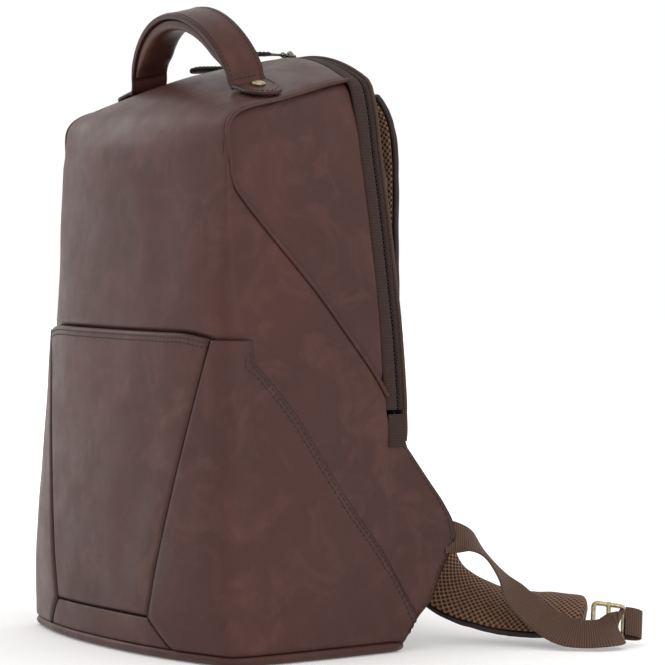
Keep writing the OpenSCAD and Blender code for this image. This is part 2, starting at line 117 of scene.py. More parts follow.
def through(points):
    """Smooth function through (x, value) points with rising x, flat beyond them."""
    xs = [p[0] for p in points]
    ys = [p[1] for p in points]
    n = len(xs)
    cut = [(ys[i + 1] - ys[i]) / (xs[i + 1] - xs[i]) for i in range(n - 1)]
    slope = [cut[0]] + [
        0 if cut[i - 1] * cut[i] <= 0 else 2 * cut[i - 1] * cut[i] / (cut[i - 1] + cut[i])
        for i in range(1, n - 1)
    ] + [cut[-1]]

    def f(x):
        if x <= xs[0]:
            return ys[0]
        if x >= xs[-1]:
            return ys[-1]
        i = bisect_right(xs, x) - 1
        h = xs[i + 1] - xs[i]
        t = (x - xs[i]) / h
        return ((1 + 2 * t) * (1 - t) ** 2 * ys[i] + t * (1 - t) ** 2 * h * slope[i]
                + t * t * (3 - 2 * t) * ys[i + 1] + t * t * (t - 1) * h * slope[i + 1])
    return f


def route(points, s):
    """Catmull-Rom point at s from 0 to 1 of a list of vectors."""
    n = len(points) - 1
    i = min(int(s * n), n - 1)
    t = s * n - i
    a, b = points[max(i - 1, 0)], points[i]
    c, d = points[i + 1], points[min(i + 2, n)]
    return 0.5 * ((2 * b) + (c - a) * t + (2 * a - 5 * b + 4 * c - d) * t * t
                  + (3 * b - a - 3 * c + d) * t * t * t)


def spaced(points, step):
    """The polyline's points again at an even step."""
    out, left = [points[0].copy()], step
    for a, b in zip(points, points[1:]):
        long = (b - a).length
        at = left
        while at <= long and long > 0:
            out.append(a.lerp(b, at / long))
            at += step
        left = at - long
    return out


# ------------------------------------------------------------------ form of the bag, in metres
SEAM_Y, BACK_Y, COIL_Y = 0.063, 0.078, 0.0722
ZIP_Z, ROLL_Z, TOP_Z, TOP_R = 0.168, 0.345, 0.427, 0.186
ARC_Z = TOP_Z - TOP_R
SIDE_LOW = 0.1845    # lower end of the inset side panels
SKIN = 0.0022        # thickness of the leather
ZIP_STEP = 0.0015
REAR = through([(z * MM, x * MM) for z, x in (
    (0, 140), (90, 137), (170, 133.5), (220, 128), (280, 116.7), (321, 108), (357, 99.4),
    (378, 95.2), (396, 90), (408, 84))])
DIAG = through([(y * MM, z * MM) for y, z in (
    (-59, 345), (-56, 333), (-48, 322), (-32, 304), (8, 259), (32, 228), (54, 199),
    (63, 184.5), (70, 170))])
WING = through([(z * MM, y * MM) for z, y in (
    (4, 70), (10, 77), (24, 87), (36, 97), (56, 105), (71, 112), (82, 115), (90, 114),
    (104, 108), (120, 98), (144, 82), (163, 68), (172, 64))])
EDGE = [V(p) * MM for p in (
    (123, -61, 345), (121.5, -61, 362), (120, -58, 376), (117, -48, 384), (113, -30, 389),
    (106, -8, 393), (95, 23, 400), (87, 45, 405), (81, 63, 408))]
MID = [V((0, y, z)) * MM for y, z in (
    (-78.3, 345), (-76, 362), (-68, 380), (-55, 392), (-36, 402), (-10, 412), (23, 420),
    (45, 424), (63, 427))]
LIP_Z = 0.2285
# rear edge of the pocket's side: height by distance back
LIP = through([(y * MM, z * MM) for y, z in (
    (-69, 222), (-49, 210), (-29, 189), (-12, 168), (8, 138), (32, 104), (57, 73),
    (78, 40), (90, 20), (96, 8))])


def half_front(z):
    return 0.1521 - 0.0299 * z / 0.36


def depth(z):
    return 0.0714 - 0.0108 * z / 0.36


def crown(z):
    return 0.0237 - 0.0069 * z / 0.36


def corner_r(z):
    return lerp(0.017, 0.003, ease((z - 0.20) / 0.14))


FULLNESS = through([(0, 2.0), (0.03, 3.0), (0.22, 2.9), (0.345, 2.2)])
SWELL = through([(0, 0), (0.03, 0.0030), (0.09, 0.0030), (0.23, 0.001), (0.34, 0)])


def front_pt(z, u):
    """Front surface: u from -1 to 1 between the corners."""
    bow = 1 - abs(u) ** FULLNESS(z)
    return V((u * half_front(z), -depth(z) - (crown(z) + SWELL(z)) * bow, z))


def side_pt(z, y):
    s = (y + depth(z)) / (SEAM_Y + depth(z))
    swell = 0.0022 * math.sin(math.pi * clamp(s)) * ease((0.34 - z) / 0.1)
    return V((lerp(half_front(z), REAR(z), s) + swell, y, z))


def corner_pt(z, t):
    r = corner_r(z)
    a, b, c = front_pt(z, 1 - r / half_front(z)), front_pt(z, 1), side_pt(z, r - depth(z))
    return a * (1 - t) ** 2 + 2 * b * t * (1 - t) + c * t * t


def body_pt(z, q):
    """One height of the body: |q| to 1 front, to 1.3 corner, to 3 side, to 4 wing."""
    k = abs(q)
    if k <= 1:
        p = front_pt(z, k * (1 - corner_r(z) / half_front(z)))
    elif k <= 1.3:
        p = corner_pt(z, (k - 1) / 0.3)
    elif k <= 3:
        p = side_pt(z, lerp(corner_r(z) - depth(z), SEAM_Y, (k - 1.3) / 1.7))
    else:
        y = lerp(SEAM_Y, WING(z), k - 3)
        g = (y - SEAM_Y) / 0.052
        p = side_pt(z, SEAM_Y)
        p = V((p.x - 0.0012 * math.sin(math.pi * clamp(g)) + 0.0075 * g * g, y, z))
    return flip(p) if q < 0 else p


def top_of(q):
    """Height of the wrap's upper border at column q."""
    k = abs(q)
    if k <= 1.3:
        return ROLL_Z
    if k <= 3:
        z = 0.28
        for _ in range(12):
            z = 0.5 * z + 0.5 * DIAG(body_pt(z, k).y)
        return z
    return lerp(SIDE_LOW, 0.163, ease((k - 3) / 0.6))


def roll_pt(s, q):
    """Roll and top: s from 0 at the front to 1 at the zip."""
    def plain(t):
        e, m, u = route(EDGE, t), route(MID, t), q / 1.3
        return V((u * e.x, lerp(m.y, e.y, u * u), lerp(m.z, e.z, u * u)))
    fade = falloff(s, 0.22)
    return plain(s) + (body_pt(ROLL_Z, q) - plain(0)) * fade


def top_height(x, y):
    """Height of the top surface over (x, y)."""
    a, b = 0.3, 1.0
    for _ in range(30):
        s = (a + b) / 2
        e, m = route(EDGE, s), route(MID, s)
        if lerp(m.y, e.y, (x / e.x) ** 2) < y:
            a = s
        else:
            b = s
    e, m = route(EDGE, a), route(MID, a)
    return lerp(m.z, e.z, (x / e.x) ** 2)


def zip_line():
    """The zip's line (x, z), from the left lower end over the top to the right one."""
    half = [V((REAR(z), 0, z)) for z in [lerp(ZIP_Z + 0.004, 0.392, i / 60) for i in range(61)]]
    half += [V((0.0893, 0, 0.3975)), V((0.0868, 0, 0.4030))]
    half += [V((TOP_R * math.sin(a), 0, ARC_Z + TOP_R * math.cos(a)))
             for a in [math.asin(0.082 / TOP_R) * (1 - i / 40) for i in range(41)]]
    full = [flip(p) for p in half] + [p.copy() for p in reversed(half[:-1])]
    return spaced(full, ZIP_STEP)


# ------------------------------------------------------------------ mesh helpers
def link(name, data):
    """Puts an object with this data into the scene."""
    ob = bpy.data.objects.new(name, data)
    bpy.context.scene.collection.objects.link(ob)
    return ob


def from_bmesh(name, bm, mat, shape=None):
    """Smooth object from a bmesh, bent by shape(point)."""
    me = bpy.data.meshes.new(name)
    bm.to_mesh(me)
    bm.free()
    me.materials.append(mat)
    if shape:
        for v in me.vertices:
            v.co = shape(v.co)
    me.polygons.foreach_set("use_smooth", [True] * len(me.polygons))
    return link(name, me)


def face_out(ob):
    """Turns the faces of a closed mesh outwards."""
    bm = bmesh.new()
    bm.from_mesh(ob.data)
    bmesh.ops.recalc_face_normals(bm, faces=bm.faces)
    bm.to_mesh(ob.data)
    bm.free()
    return ob


def walls(rings, sides, base=0):
    """Faces between rings of points, from point number base on."""
    return [(base + i * sides + k, base + i * sides + (k + 1) % sides,
             base + (i + 1) * sides + (k + 1) % sides, base + (i + 1) * sides + k)
            for i in range(rings - 1) for k in range(sides)]


def closed(rings, sides, base=0):
    """The same, with a flat face at each end."""
    last = base + (rings - 1) * sides
    return walls(rings, sides, base) + [tuple(range(base, base + sides))[::-1],
                                        tuple(range(last, last + sides))]


def new_obj(name, verts, faces, mat, smooth=True):
    me = bpy.data.meshes.new(name)
    me.from_pydata([tuple(v) for v in verts], [], faces)
    me.validate()
    me.materials.append(mat)
    if smooth:
        me.polygons.foreach_set("use_smooth", [True] * len(me.polygons))
    return link(name, me)


def paint(ob, name, values):
    at = ob.data.attributes.new(name, "FLOAT", "POINT")
    at.data.foreach_set("value", [float(v) for v in values])


def paint_vec(ob, name, values):
    at = ob.data.attributes.new(name, "FLOAT_VECTOR", "POINT")
    at.data.foreach_set("vector", [float(c) for v in values for c in v])


def sheet_mesh(name, grid, mat, thick=0.0, edge=None, flow=None, outward=None):
    """Surface through a grid of points, with a second skin thick below it and closed rims.
    edge and flow give each grid point a number and a vector for the material."""
    r, c = len(grid), len(grid[0])
    top = [p for row in grid for p in row]
    normals = []
    for i in range(r):
        for j in range(c):
            du = grid[min(i + 1, r - 1)][j] - grid[max(i - 1, 0)][j]
            dv = grid[i][min(j + 1, c - 1)] - grid[i][max(j - 1, 0)]
            n = dv.cross(du)
            normals.append(n.normalized() if n.length > 1e-12 else V((0, 0, 0)))
    mid = normals[(r // 2) * c + c // 2]
    turned = outward is not None and mid.dot(V(outward)) < 0
    if turned:
        normals = [-n for n in normals]
    faces = []
    for i in range(r - 1):
        for j in range(c - 1):
            f = (i * c + j, i * c + j + 1, (i + 1) * c + j + 1, (i + 1) * c + j)
            faces.append(f[::-1] if turned else f)
    verts = list(top)
    if thick:
        m = r * c
        verts += [p - n * thick for p, n in zip(top, normals)]
        faces += [tuple(m + k for k in reversed(f)) for f in faces]
        ring = [(0, j) for j in range(c)] + [(i, c - 1) for i in range(1, r)]
        ring += [(r - 1, j) for j in range(c - 2, -1, -1)] + [(i, 0) for i in range(r - 2, 0, -1)]
        idx = [i * c + j for i, j in ring]
        for a, b in zip(idx, idx[1:] + idx[:1]):
            f = (a, b, m + b, m + a)
            faces.append(f if turned else f[::-1])
    ob = new_obj(name, verts, faces, mat)
    times = 2 if thick else 1
    if edge is not None:
        paint(ob, "edge", [e for row in edge for e in row] * times)
    if flow is not None:
        paint_vec(ob, "flow", [e for row in flow for e in row] * times)
    return ob


def frames(pts, hint=V((0, 0, 1))):
    """Tangent and two normals at each point, carried along without twist."""
    out, a = [], None
    for i in range(len(pts)):
        t = heading(pts, i)
        if a is None:
            a = hint - t * hint.dot(t)
            if a.length < 1e-4:
                a = V((1, 0, 0)) - t * t.x
        else:
            a = a - t * a.dot(t)
        a.normalize()
        out.append((t, a, t.cross(a)))
    return out


def tube(name, pts, r, mat, sides=10, taper=0.0, hint=V((0, 0, 1)), squash=1.0):
    """Round bar along points, closed with small domes."""
    verts, flow, far = [], [], 0.0
    fr = frames(pts, hint)
    n = len(pts)
    for i, (p, (t, a, b)) in enumerate(zip(pts, fr)):
        far += (p - pts[i - 1]).length if i else 0
        rr = r * (1 - taper * (1 - ease(min(i, n - 1 - i) / 4.0)))
        for k in range(sides):
            w = 2 * math.pi * k / sides
            verts.append(p + a * rr * math.cos(w) + b * rr * squash * math.sin(w))
            flow.append((r * w, far, 0))
    faces = walls(n, sides)
    for i, s in ((0, -1), (n - 1, 1)):
        t = fr[i][0]
        verts.append(pts[i] + t * r * 0.4 * s * (1 - taper))
        flow.append((0, far * (i > 0), 0))
        c = len(verts) - 1
        for k in range(sides):
            e = (k + 1) % sides
            f = (i * sides + k, i * sides + e, c)
            faces.append(f if s > 0 else f[::-1])
    ob = new_obj(name, verts, faces, mat)
    paint_vec(ob, "flow", flow)
    return ob


def stitches(name, lines, mat, long=0.0030, gap=0.0014, r=0.00042, lift=0.0001):
    """Rows of raised thread. Each line is a list of (point, normal)."""
    verts, faces = [], []
    rings, sides = 5, 6
    for line in lines:
        pts = [p for p, n in line]
        cum = [0.0]
        for a, b in zip(pts, pts[1:]):
            cum.append(cum[-1] + (b - a).length)
        total = cum[-1]

        def at(d):
            i = max(0, min(bisect_right(cum, d) - 1, len(pts) - 2))
            t = (d - cum[i]) / max(cum[i + 1] - cum[i], 1e-9)
            return pts[i].lerp(pts[i + 1], t), line[i][1].lerp(line[i + 1][1], t).normalized()
        count = int(total / (long + gap))
        for k in range(count):
            d0 = k * (long + gap) + gap / 2
            base = len(verts)
            for i in range(rings):
                s = i / (rings - 1)
                p, n = at(d0 + long * s)
                ahead = at(d0 + long * min(1, s + 0.1))[0]
                t = (ahead - at(d0 + long * max(0, s - 0.1))[0]).normalized()
                side = t.cross(n).normalized()
                rr = r * (0.35 + 0.65 * math.sin(math.pi * (0.12 + 0.76 * s)))
                c = p + n * (lift + r * 0.5 * math.sin(math.pi * s) - r * 0.25)
                for j in range(sides):
                    w = 2 * math.pi * j / sides
                    verts.append(c + side * rr * math.cos(w) + n * rr * math.sin(w))
            faces += closed(rings, sides, base)
    return new_obj(name, verts, faces, mat)


def hull_box(name, mat, corners, bevel):
    """Box of eight corner points with rounded edges."""
    bm = bmesh.new()
    vs = [bm.verts.new(p) for p in corners]
    for f in ((0, 1, 3, 2), (4, 6, 7, 5), (0, 4, 5, 1), (2, 3, 7, 6), (0, 2, 6, 4), (1, 5, 7, 3)):
        bm.faces.new([vs[i] for i in f])
    bmesh.ops.recalc_face_normals(bm, faces=bm.faces)
    bmesh.ops.bevel(bm, geom=list(bm.edges), offset=bevel, segments=3, profile=0.5,
                    affect="EDGES")
    return from_bmesh(name, bm, mat)


def settle(ob):
    """Applies an object's modifiers."""
    deps = bpy.context.evaluated_depsgraph_get()
    me = bpy.data.meshes.new_from_object(ob.evaluated_get(deps))
    ob.modifiers.clear()
    ob.data = me
    return ob


# ------------------------------------------------------------------ materials
class Nodes:
    """Small helper that adds and links shader nodes."""

    def __init__(self, name):
        self.mat = bpy.data.materials.new(name)
        self.mat.use_nodes = True
        self.tree = self.mat.node_tree
        self.bsdf = self.tree.nodes["Principled BSDF"]

    def feed(self, socket, v):
        if isinstance(v, bpy.types.NodeSocket):
            self.tree.links.new(v, socket)
        else:
            socket.default_value = v

    def add(self, kind, links=None, **values):
        node = self.tree.nodes.new(kind)
        for k, v in values.items():
            if hasattr(node, k):
                setattr(node, k, v)
        for k, v in (links or {}).items():
            self.feed(node.inputs[k], v)
        return node

    def math(self, op, a, b=None, c=None, clamped=False):
        n = self.tree.nodes.new("ShaderNodeMath")
        n.operation, n.use_clamp = op, clamped
        for i, v in enumerate((a, b, c)):
            if v is None:
                continue
            self.feed(n.inputs[i], v)
        return n.outputs[0]

    def ramp(self, fac, stops, mode="LINEAR"):
        n = self.tree.nodes.new("ShaderNodeValToRGB")
        n.color_ramp.interpolation = mode
        while len(n.color_ramp.elements) < len(stops):
            n.color_ramp.elements.new(0.5)
        for e, (at, col) in zip(n.color_ramp.elements, stops):
            e.position = at
            e.color = col if len(col) == 4 else (*col, 1)
        self.tree.links.new(fac, n.inputs[0])
        return n.outputs[0]

    def mix(self, fac, a, b, mode="MIX"):
        n = self.tree.nodes.new("ShaderNodeMix")
        n.data_type, n.blend_type = "RGBA", mode
        for number, v in ((0, fac), (6, a), (7, b)):
            self.feed(n.inputs[number], (*v, 1) if isinstance(v, tuple) else v)
        return n.outputs[2]

    def mask(self, fac, start, end, low=0.0, high=1.0):
        """Grey from low to high between two values of fac."""
        return self.ramp(fac, [(start, (low,) * 3), (end, (high,) * 3)])

    def mul(self, a, b):
        return self.math("MULTIPLY", a, b)

    def plus(self, a, b):
        return self.math("ADD", a, b)

    def split(self, vector):
        return self.add("ShaderNodeSeparateXYZ", {"Vector": vector}).outputs

    def noise(self, where, scale, detail=3, rough=0.5, distort=0.0):
        return self.add("ShaderNodeTexNoise", {
            "Vector": where, "Scale": scale, "Detail": detail, "Roughness": rough,
            "Distortion": distort}).outputs[0]

    def bump(self, height, strength, distance, normal=None):
        links = {"Height": height, "Strength": strength, "Distance": distance}
        if normal is not None:
            links["Normal"] = normal
        return self.add("ShaderNodeBump", links).outputs[0]

    def set(self, **values):
        for k, v in values.items():
            self.feed(self.bsdf.inputs[k.replace("_", " ")],
                      (*v, 1) if isinstance(v, tuple) else v)
        return self.mat

    def object_space(self):
        return self.add("ShaderNodeTexCoord").outputs["Object"]

    def attribute(self, name, vector=False):
        n = self.add("ShaderNodeAttribute", attribute_type="GEOMETRY", attribute_name=name)
        return n.outputs["Vector"] if vector else n.outputs["Fac"]


def leather(name, base, light, dark, rough=0.42, grain=1.0, seed=0.0):
    n = Nodes(name)
    here = n.add("ShaderNodeMapping", {
        "Vector": n.object_space(), "Location": (seed, seed * 0.7, -seed)}).outputs[0]
    # cloudy pull-up tones, then finer mottling
    cloud = n.noise(here, 9, 5, 0.55, 0.6)
    col = n.mix(n.mask(cloud, 0.34, 0.68), dark, base)
    patch = n.noise(here, 26, 6, 0.62, 1.2)
    col = n.mix(n.mask(patch, 0.50, 0.78, high=0.75), col, light)
    fine = n.noise(here, 160, 4, 0.6)
    col = n.mix(n.mask(fine, 0.35, 0.62, 0.16, 0.0), col, dark)
    # long faint scuffs
    stretched = n.add("ShaderNodeMapping", {
        "Vector": here, "Rotation": (0.35, 0.2, 0.5), "Scale": (60, 60, 7)}).outputs[0]
    scuff = n.mask(n.noise(stretched, 1.0, 5, 0.7), 0.64, 0.74)
    rare = n.mask(n.noise(here, 14, 2), 0.52, 0.7)
    scuff = n.mul(scuff, rare)
    col = n.mix(n.mul(scuff, 0.35), col, light)
    # burnished darker along the cut and stitched edges; on the handle's padding the same mask also
    # paints shade under the strap
    edge = n.attribute("edge")
    col = n.mix(n.mul(edge, 0.75), col, tuple(c * 0.55 for c in dark))
    # fine pebble grain, pores and slow hand waviness
    cells = n.add("ShaderNodeTexVoronoi", {"Vector": here, "Scale": 900.0, "Randomness": 1.0},
                  feature="DISTANCE_TO_EDGE").outputs["Distance"]
    pebble = n.math("MINIMUM", cells, 0.16)
    pores = n.noise(here, 1500, 2, 0.6)
    slow = n.noise(here, 42, 4, 0.55, 0.4)
    normal = n.bump(slow, 0.35 * grain, 0.0009)
    normal = n.bump(pebble, 0.30 * grain, 0.0006, normal)
    normal = n.bump(pores, 0.18 * grain, 0.0003, normal)
    worn = n.mask(n.noise(here, 34, 5, 0.6), 0.3, 0.7, rough - 0.07, rough + 0.10)
    return n.set(Base_Color=col, Roughness=worn, Normal=normal, Specular_IOR_Level=0.23,
                 Coat_Weight=0.04, Coat_Roughness=0.34)


def ribbed(name, base, dark, pitch=0.0016, fine=0.0006, rough=0.8):
    """Woven webbing: ribs across it, each made of fine yarns. flow.y runs along it."""
    n = Nodes(name)
    flow = n.attribute("flow", True)
    part = n.split(flow)
    rib = n.math("ABSOLUTE", n.math("SINE", n.mul(part[1], math.pi / pitch)))
    slant = n.plus(n.mul(part[0], math.pi / fine), n.mul(part[1], 900.0))
    yarn = n.math("ABSOLUTE", n.math("SINE", slant))
    mottled = n.noise(flow, 700, 3, 0.6)
    tone = n.mul(rib, n.plus(n.mul(yarn, 0.35), 0.65))
    tone = n.plus(n.mul(tone, 0.8), n.mul(mottled, 0.3))
    col = n.ramp(tone, [(0.15, dark), (0.85, base)])
    normal = n.bump(rib, 0.8, 0.0007)
    normal = n.bump(yarn, 0.5, 0.00025, normal)
    return n.set(Base_Color=col, Roughness=rough, Normal=normal, Specular_IOR_Level=0.25,
                 Sheen_Weight=0.05, Sheen_Roughness=0.5)


def spacer_mesh(name, light, dark, pitch=0.0044):
    """Open knitted mesh: rounded strands round a honeycomb of holes, in flow's x and y."""
    n = Nodes(name)
    flow = n.attribute("flow", True)
    part = n.split(flow)
    a, b = pitch, pitch * math.sqrt(3) * 0.62

    def centred(value, size, shift):
        cell = n.math("FRACT", n.plus(n.math("DIVIDE", value, size), shift))
        return n.math("SUBTRACT", cell, 0.5)

    def lattice(shift):
        x, y = centred(part[0], a, shift), centred(part[1], b, shift)
        x, y = n.mul(x, 1.0), n.mul(y, b / a)
        return n.math("SQRT", n.plus(n.mul(x, x), n.mul(y, y)))

    near = n.math("MINIMUM", lattice(0.0), lattice(0.5))
    wobble = n.mul(n.math("SUBTRACT", n.noise(flow, 420, 2), 0.5), 0.10)
    near = n.plus(near, wobble)
    strand = n.mask(near, 0.20, 0.34)
    knit = n.noise(flow, 1500, 3, 0.65)
    mid = tuple(lerp(p, q, 0.45) for p, q in zip(dark, light))
    col = n.mix(n.mask(knit, 0.35, 0.7), mid, light)
    col = n.mix(strand, dark, col)
    normal = n.bump(strand, 0.9, 0.0012)
    normal = n.bump(knit, 0.5, 0.0003, normal)
    return n.set(Base_Color=col, Roughness=0.78, Normal=normal, Specular_IOR_Level=0.25,
                 Sheen_Weight=0.05, Sheen_Roughness=0.5)


def metal(name, base, dark, rough=0.30):
    n = Nodes(name)
    here = n.object_space()
    cloud = n.noise(here, 260, 4, 0.6)
    col = n.mix(n.mask(cloud, 0.35, 0.65), dark, base)
    r = n.mask(n.noise(here, 420, 3), 0.3, 0.7, rough - 0.06, rough + 0.12)
    normal = n.bump(n.noise(here, 900, 3), 0.12, 0.0003)
    return n.set(Base_Color=col, Roughness=r, Metallic=1.0, Normal=normal)


def cloth(name, base, dark, scale=0.0011, rough=0.85):
    n = Nodes(name)
    here = n.object_space()
    part = n.split(here)
    u = n.math("SINE", n.mul(n.plus(part[0], part[1]), math.pi / scale))
    v = n.math("SINE", n.mul(part[2], math.pi / scale))
    weave = n.mul(n.plus(n.mul(u, v), 1.0), 0.5)
    blot = n.noise(here, 60, 4)
    tone = n.plus(n.mul(weave, 0.6), n.mul(blot, 0.5))
    col = n.ramp(tone, [(0.2, dark), (0.85, base)])
    return n.set(Base_Color=col, Roughness=rough, Normal=n.bump(weave, 0.5, 0.0003),
                 Sheen_Weight=0.2, Sheen_Roughness=0.5)


def thread(name, base, dark):
    n = Nodes(name)
    here = n.object_space()
    twist = n.add("ShaderNodeTexWave", {"Vector": here, "Scale": 900.0, "Distortion": 2.0},
                  bands_direction="DIAGONAL").outputs["Fac"]
    col = n.ramp(twist, [(0.2, dark), (0.8, base)])
    return n.set(Base_Color=col, Roughness=0.6, Normal=n.bump(twist, 0.4, 0.0002))


def plastic(name, base, rough=0.5):
    n = Nodes(name)
    here = n.object_space()
    fine = n.noise(here, 800, 3)
    col = n.mix(n.mask(n.noise(here, 50, 3), 0.4, 0.6, high=0.5), base,
                tuple(c * 0.6 for c in base))
    return n.set(Base_Color=col, Roughness=rough, Normal=n.bump(fine, 0.2, 0.0002))


HIDE = leather("hide", (0.066, 0.0225, 0.0170), (0.098, 0.038, 0.029), (0.046, 0.0160, 0.0125))
HIDE_B = leather("hide_panel", (0.070, 0.0230, 0.0165), (0.102, 0.038, 0.028),
                 (0.048, 0.0160, 0.0120), seed=1.3)
HIDE_C = leather("hide_side", (0.068, 0.0230, 0.0175), (0.098, 0.038, 0.029),
                 (0.046, 0.0165, 0.0130), seed=2.9)
DARK_HIDE = leather("hide_edge", (0.014, 0.008, 0.007), (0.022, 0.013, 0.011),
                    (0.009, 0.006, 0.005), rough=0.36, grain=0.6, seed=5.0)
UNDER_HIDE = leather("hide_strap", (0.032, 0.018, 0.016), (0.052, 0.030, 0.027),
                     (0.018, 0.010, 0.009), rough=0.46, seed=7.1)
WEB = ribbed("webbing", (0.118, 0.062, 0.039), (0.046, 0.024, 0.015))
TAPE = ribbed("zip_tape", (0.052, 0.0245, 0.0195), (0.016, 0.0080, 0.0065), pitch=0.0011)
BIND = ribbed("binding", (0.095, 0.052, 0.038), (0.040, 0.022, 0.016), pitch=0.0012)
MESH = spacer_mesh("spacer_mesh", (0.112, 0.072, 0.054), (0.018, 0.011, 0.009), 0.0044)
MESH_WARM = spacer_mesh("spacer_mesh_strap", (0.330, 0.165, 0.090), (0.030, 0.016, 0.010), 0.0040)
BRASS = metal("brass", (0.56, 0.48, 0.30), (0.26, 0.21, 0.12))
STEEL = metal("antique_metal", (0.30, 0.27, 0.22), (0.10, 0.09, 0.08), 0.34)
THREAD = thread("thread", (0.026, 0.013, 0.011), (0.010, 0.006, 0.005))
LINING = cloth("lining", (0.075, 0.050, 0.038), (0.030, 0.020, 0.016))
BACKING = cloth("backing", (0.040, 0.026, 0.021), (0.014, 0.009, 0.008))
TEETH = plastic("zip_teeth", (0.018, 0.011, 0.010), 0.42)
BOARD = plastic("board", (0.030, 0.026, 0.025), 0.6)

# the zone across which the leather goes from one body to the other; these points are passed to
# bending() but not used
FOLD_DIR = V((0, 0.5305, 0.848))
HINGE = V((0, COIL_Y, ZIP_Z))
FOLD_A = HINGE + FOLD_DIR * -0.0245
FOLD_B = HINGE + FOLD_DIR * 0.0222


def filled(ob, slot, replaced):
    """Hides the CAD nodes that a piece replaces; slot is not used."""
    if replaced:
        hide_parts(*replaced)
    return ob


def riding(ob, body, slot, *replaced):
    """A piece that moves with one body."""
    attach(ob, body)
    return filled(ob, slot, replaced)


def bending(ob, bodies, start, end, slot, *replaced):
    """A piece laid across two bodies: its transform is baked and the CAD nodes it replaces are
    hidden; it is attached to neither body, and bodies, start and end are not used.
    """
    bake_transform(ob)
    return filled(ob, slot, replaced)


def folds(ob, *replaced):
    return bending(ob, ("back", "front"), tuple(FOLD_A), tuple(FOLD_B), "leather", *replaced)


# ------------------------------------------------------------------ main leather wrap
def span(a, b, n):
    return [a + (b - a) * i / n for i in range(n + 1)]


def both(right):
    """Columns for the left side, mirrored, then the right side."""
    return [-q for q in reversed(right)] + right


def surf(q, z, off=0.0):
    """Point of the body moved outwards by off, and its normal."""
    e = 0.0008
    du = body_pt(z, min(q + 0.004, 4.0)) - body_pt(z, max(q - 0.004, -4.0))
    dv = body_pt(z + e, q) - body_pt(z - e, q)
    n = du.cross(dv).normalized()
    return body_pt(z, q) + n * off, n


def wobble(p, amount=1.0):
    """Slow hand-made unevenness of leather, in metres."""
    a = noise.noise(p * 11.0 + V((3.1, 0.4, 7.7))) * 0.0011
    b = noise.noise(p * 31.0 + V((1.7, 5.2, 0.3))) * 0.00035
    return (a + b) * amount


PANEL_TOP, PANEL_LOW, PANEL_Z = 0.1195, 0.0680, 0.029
POCKET_LOW = 0.0070           # lower border of the pocket
SEAM_ROWS = (0.0032, 0.0066)  # how far in its two rows of stitches run


def seam_x(z):
    """Half width of the pocket's front panel, and of the strip below it."""
    if z >= PANEL_Z:
        return lerp(PANEL_LOW, PANEL_TOP, (z - PANEL_Z) / (LIP_Z - PANEL_Z))
    return lerp(0.092, PANEL_LOW, (z - 0.006) / (PANEL_Z - 0.006))


def q_of_x(z, x):
    """Column of the front surface where it is x from the middle."""
    return x / (half_front(z) * (1 - corner_r(z) / half_front(z)))


LIP_ROWS = [(-0.069 + 0.165 * i / 60) for i in range(61)]
LIP_BACK = through(sorted((LIP(y), y) for y in LIP_ROWS))


def q_of_y(z, y):
    a = corner_r(z) - depth(z)
    if y <= SEAM_Y:
        return 1.3 + 1.7 * (y - a) / (SEAM_Y - a)
    return 3 + clamp((y - SEAM_Y) / max(WING(z) - SEAM_Y, 1e-4))


def lip_top(q):
    """Height of the pocket's lip over the front."""
    return LIP_Z - 0.0045 * ease((abs(q) - 0.75) / 0.4)


def pocket_end_q(z):
    return q_of_y(z, LIP_BACK(z))


def tuck(q, z):
    """How far the wrap lies back under the pocket."""
    k = abs(q)
    if k < 1.3:
        over = lip_top(q) - z
        deep = lerp(0.0062, 0.0030, ease((k - 0.7) / 0.5))
        return deep * ease((over + 0.004) / 0.010)
    return 0.0016 * ease((pocket_end_q(min(max(z, 0.008), 0.222)) - k) / 0.06)


# soft dents and folds: centre, radius along each axis, depth inwards
DENTS = [((0.136, 0.030, 0.120), (0.03, 0.016, 0.070), 0.0012),
         ((0.126, -0.046, 0.262), (0.03, 0.030, 0.026), 0.0016),
         ((-0.126, -0.046, 0.262), (0.03, 0.030, 0.026), 0.0014),
         ((0.066, -0.085, 0.282), (0.030, 0.03, 0.050), 0.0016),
         ((-0.060, -0.085, 0.300), (0.035, 0.03, 0.045), 0.0014),
         ((0.138, 0.070, 0.105), (0.03, 0.004, 0.060), 0.0011),
         ((0.141, 0.092, 0.066), (0.03, 0.010, 0.016), 0.0014),
         ((0.140, 0.096, 0.050), (0.03, 0.008, 0.010), -0.0010),
         ((0.141, 0.100, 0.090), (0.03, 0.010, 0.007), -0.0009)]


def dents(p):
    d = 0.0
    for c, r, h in DENTS:
        for sx in ((1, -1) if c[1] > -0.04 and abs(c[0]) > 0.13 else (1,)):
            k = (((p.x - sx * c[0]) / r[0]) ** 2 + ((p.y - c[1]) / r[1]) ** 2
                 + ((p.z - c[2]) / r[2]) ** 2)
            if k < 9:
                d -= h * math.exp(-k)
    return d


